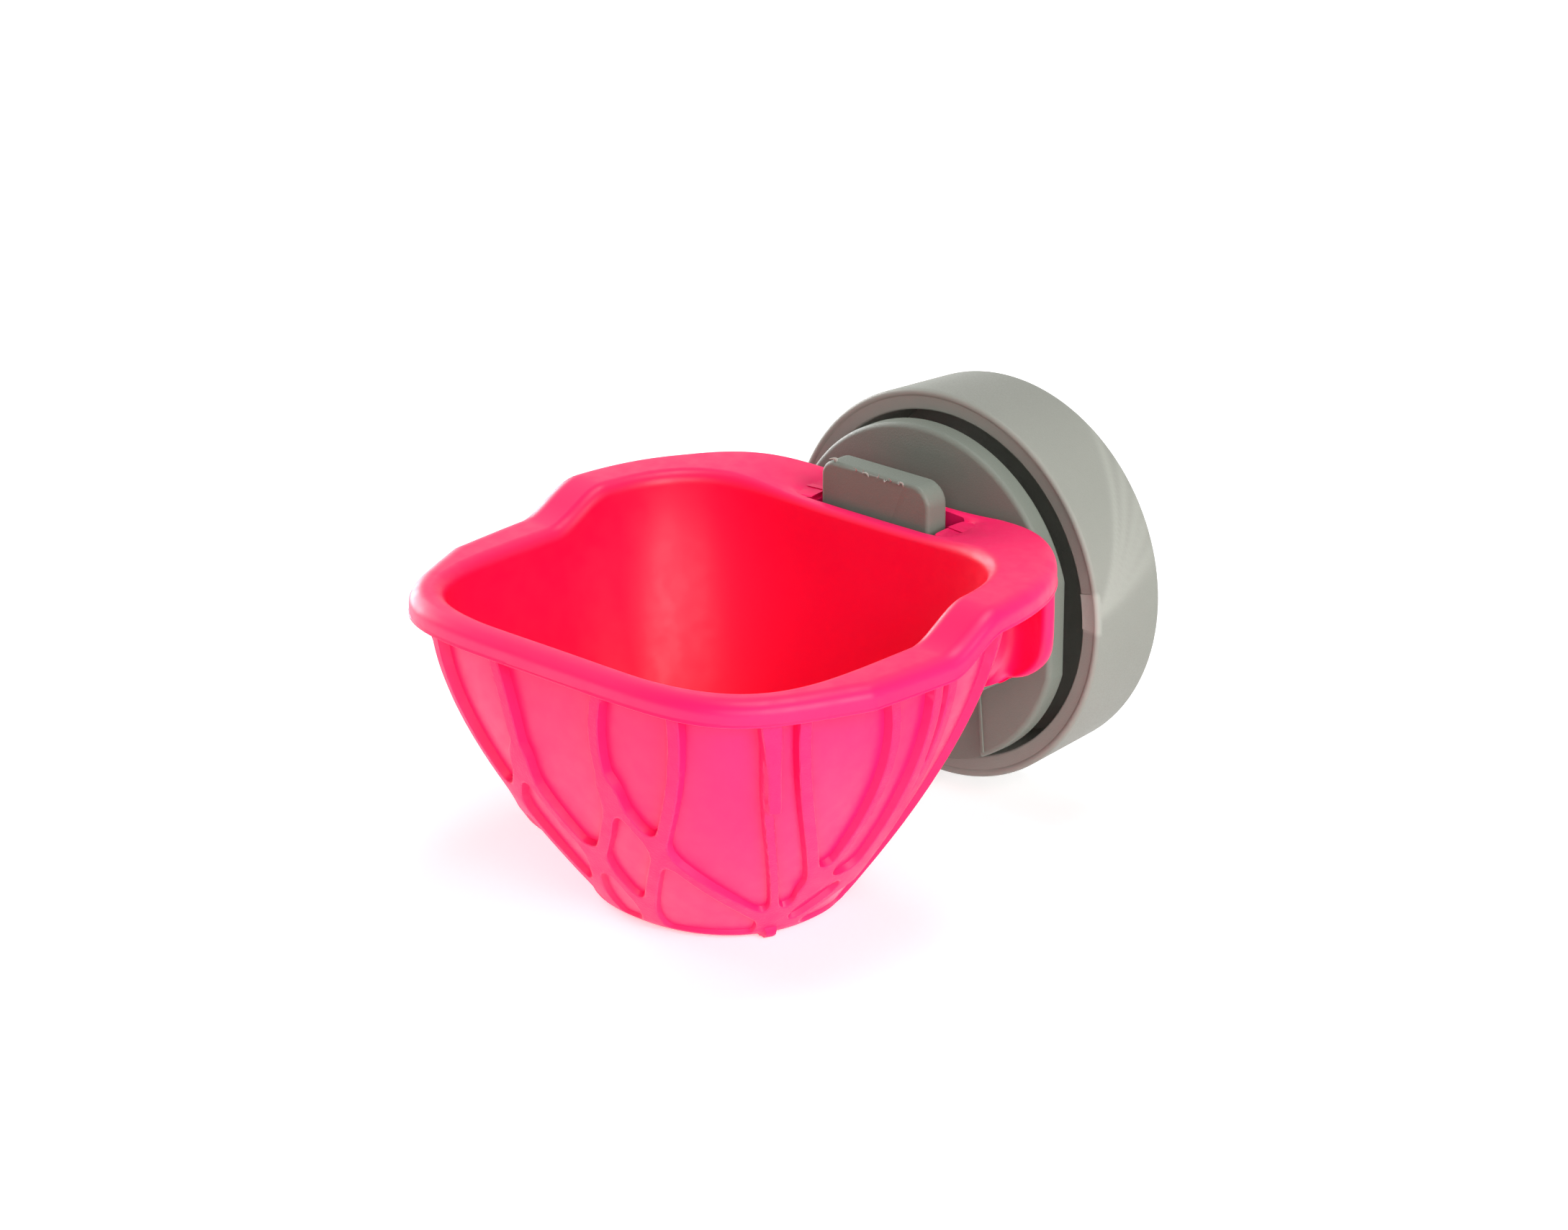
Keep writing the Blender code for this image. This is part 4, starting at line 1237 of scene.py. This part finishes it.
def grey_material(name, deep, pale, pale_marks_and_highlight):
    """Satin grey with a fine eroded grain and paler marks: flow marks and whisker ends, and a painted
    highlight on the cap's lug.
    """
    material, tree, shader = plastic(name)
    place = object_place(tree)
    cloud = noise(tree, place, GREY_CLOUD, 3.0)
    grain = noise(tree, place, GREY_GRAIN)
    marks = node(tree, "ShaderNodeAttribute", attribute_name="pale_marks_and_highlight").outputs["Fac"]
    colour = blended(tree, marks, deep, pale_marks_and_highlight)
    tree.links.new(blended(tree, cloud, deep, pale), colour.node.inputs["A"])
    tree.links.new(colour, shader.inputs["Base Color"])
    shader.inputs["Specular IOR Level"].default_value = GREY_SPECULAR
    tree.links.new(between(tree, grain, GREY_ROUGHNESS), shader.inputs["Roughness"])
    tree.links.new(bump(tree, grain, GREY_BUMP), shader.inputs["Normal"])
    return material


# Stage

def area_light(name, place, size, power):
    lamp = bpy.data.lights.new(name, "AREA")
    lamp.shape = "RECTANGLE"
    lamp.size = size[0]
    lamp.size_y = size[1]
    lamp.energy = power
    item = bpy.data.objects.new(name, lamp)
    item.location = place
    item.visible_camera = False
    aim = Vector(LAMP_TARGET) - Vector(place)
    item.rotation_euler = aim.to_track_quat("-Z", "Y").to_euler()
    bpy.context.scene.collection.objects.link(item)
    return item


def seen_rays(tree):
    """1 on the rays that show the background: straight ones, reflections and refractions."""
    path = node(tree, "ShaderNodeLightPath")
    seen = math_node(tree, "MAXIMUM", path.outputs["Is Camera Ray"], path.outputs["Is Glossy Ray"])
    return math_node(tree, "MAXIMUM", seen, path.outputs["Is Transmission Ray"])


def make_floor():
    mesh = bpy.data.meshes.new("floor")
    bm = bmesh.new()
    bmesh.ops.create_grid(bm, x_segments=1, y_segments=1, size=FLOOR_HALF)
    bm.to_mesh(mesh)
    bm.free()
    floor = link("floor", mesh)
    floor.location.z = FLOOR_Z - FLOOR_GAP
    material = bpy.data.materials.new("floor")
    material.use_nodes = True
    tree = material.node_tree
    tree.nodes.clear()
    output = node(tree, "ShaderNodeOutputMaterial")
    matte = node(tree, "ShaderNodeBsdfDiffuse")
    matte.inputs["Color"].default_value = FLOOR_WHITE
    glow = node(tree, "ShaderNodeEmission")
    both = node(tree, "ShaderNodeAddShader")
    tree.links.new(matte.outputs[0], both.inputs[0])
    tree.links.new(glow.outputs[0], both.inputs[1])
    away = node(tree, "ShaderNodeVectorMath", operation="LENGTH")
    tree.links.new(object_place(tree), away.inputs[0])
    level = between(tree, away.outputs["Value"], (FLOOR_GLOW, FLOOR_FAR_GLOW), (FLOOR_NEAR, FLOOR_FAR))
    tree.links.new(math_node(tree, "MULTIPLY", seen_rays(tree), level), glow.inputs["Strength"])
    tree.links.new(both.outputs[0], output.inputs["Surface"])
    mesh.materials.append(material)


def make_world():
    world = bpy.data.worlds.new("studio")
    bpy.context.scene.world = world
    world.use_nodes = True
    tree = world.node_tree
    tree.nodes.clear()
    output = node(tree, "ShaderNodeOutputWorld")
    soft = node(tree, "ShaderNodeBackground")
    soft.inputs["Strength"].default_value = WORLD_LIGHT
    white = node(tree, "ShaderNodeBackground")
    white.inputs["Color"].default_value = WHITE
    mix = node(tree, "ShaderNodeMixShader")
    tree.links.new(seen_rays(tree), mix.inputs[0])
    tree.links.new(soft.outputs[0], mix.inputs[1])
    tree.links.new(white.outputs[0], mix.inputs[2])
    tree.links.new(mix.outputs[0], output.inputs["Surface"])


def make_stage():
    make_floor()
    make_world()
    for lamp in SOFTBOXES:
        area_light(*lamp)
    table = area_light("table", (*TABLE_PLACE, FLOOR_Z + FLOOR_GAP), TABLE_SIZE, TABLE_POWER)
    table.rotation_euler = (math.pi, 0.0, 0.0)


def make_camera():
    lens = bpy.data.cameras.new("camera")
    lens.sensor_fit = "HORIZONTAL"
    lens.sensor_width = SENSOR
    lens.lens = FOCAL_PIXELS / PHOTO_WIDTH * SENSOR
    lens.clip_start = CLIP_START
    camera = bpy.data.objects.new("camera", lens)
    away = Vector((math.sin(AZIMUTH) * math.cos(ELEVATION),
                   -math.cos(AZIMUTH) * math.cos(ELEVATION),
                   math.sin(ELEVATION)))
    camera.location = AIM + away * DISTANCE
    camera.rotation_euler = (math.pi / 2 - ELEVATION, 0.0, AZIMUTH)
    bpy.context.scene.collection.objects.link(camera)
    bpy.context.scene.camera = camera


make_cup(cup_material())
# The holder's colours are painted shade: darker and greener than the cap's, though it is the same
# plastic
make_holder(grey_material("holder_painted_shade_grey", HOLDER_PAINTED_SHADE_DEEP, HOLDER_PAINTED_SHADE_PALE, GREY_MARK_AND_HIGHLIGHT))
make_cap(grey_material("cap_grey", CAP_DEEP, CAP_PALE, GREY_MARK_AND_HIGHLIGHT))
make_stage()
make_camera()
bpy.context.scene.view_settings.view_transform = "Standard"
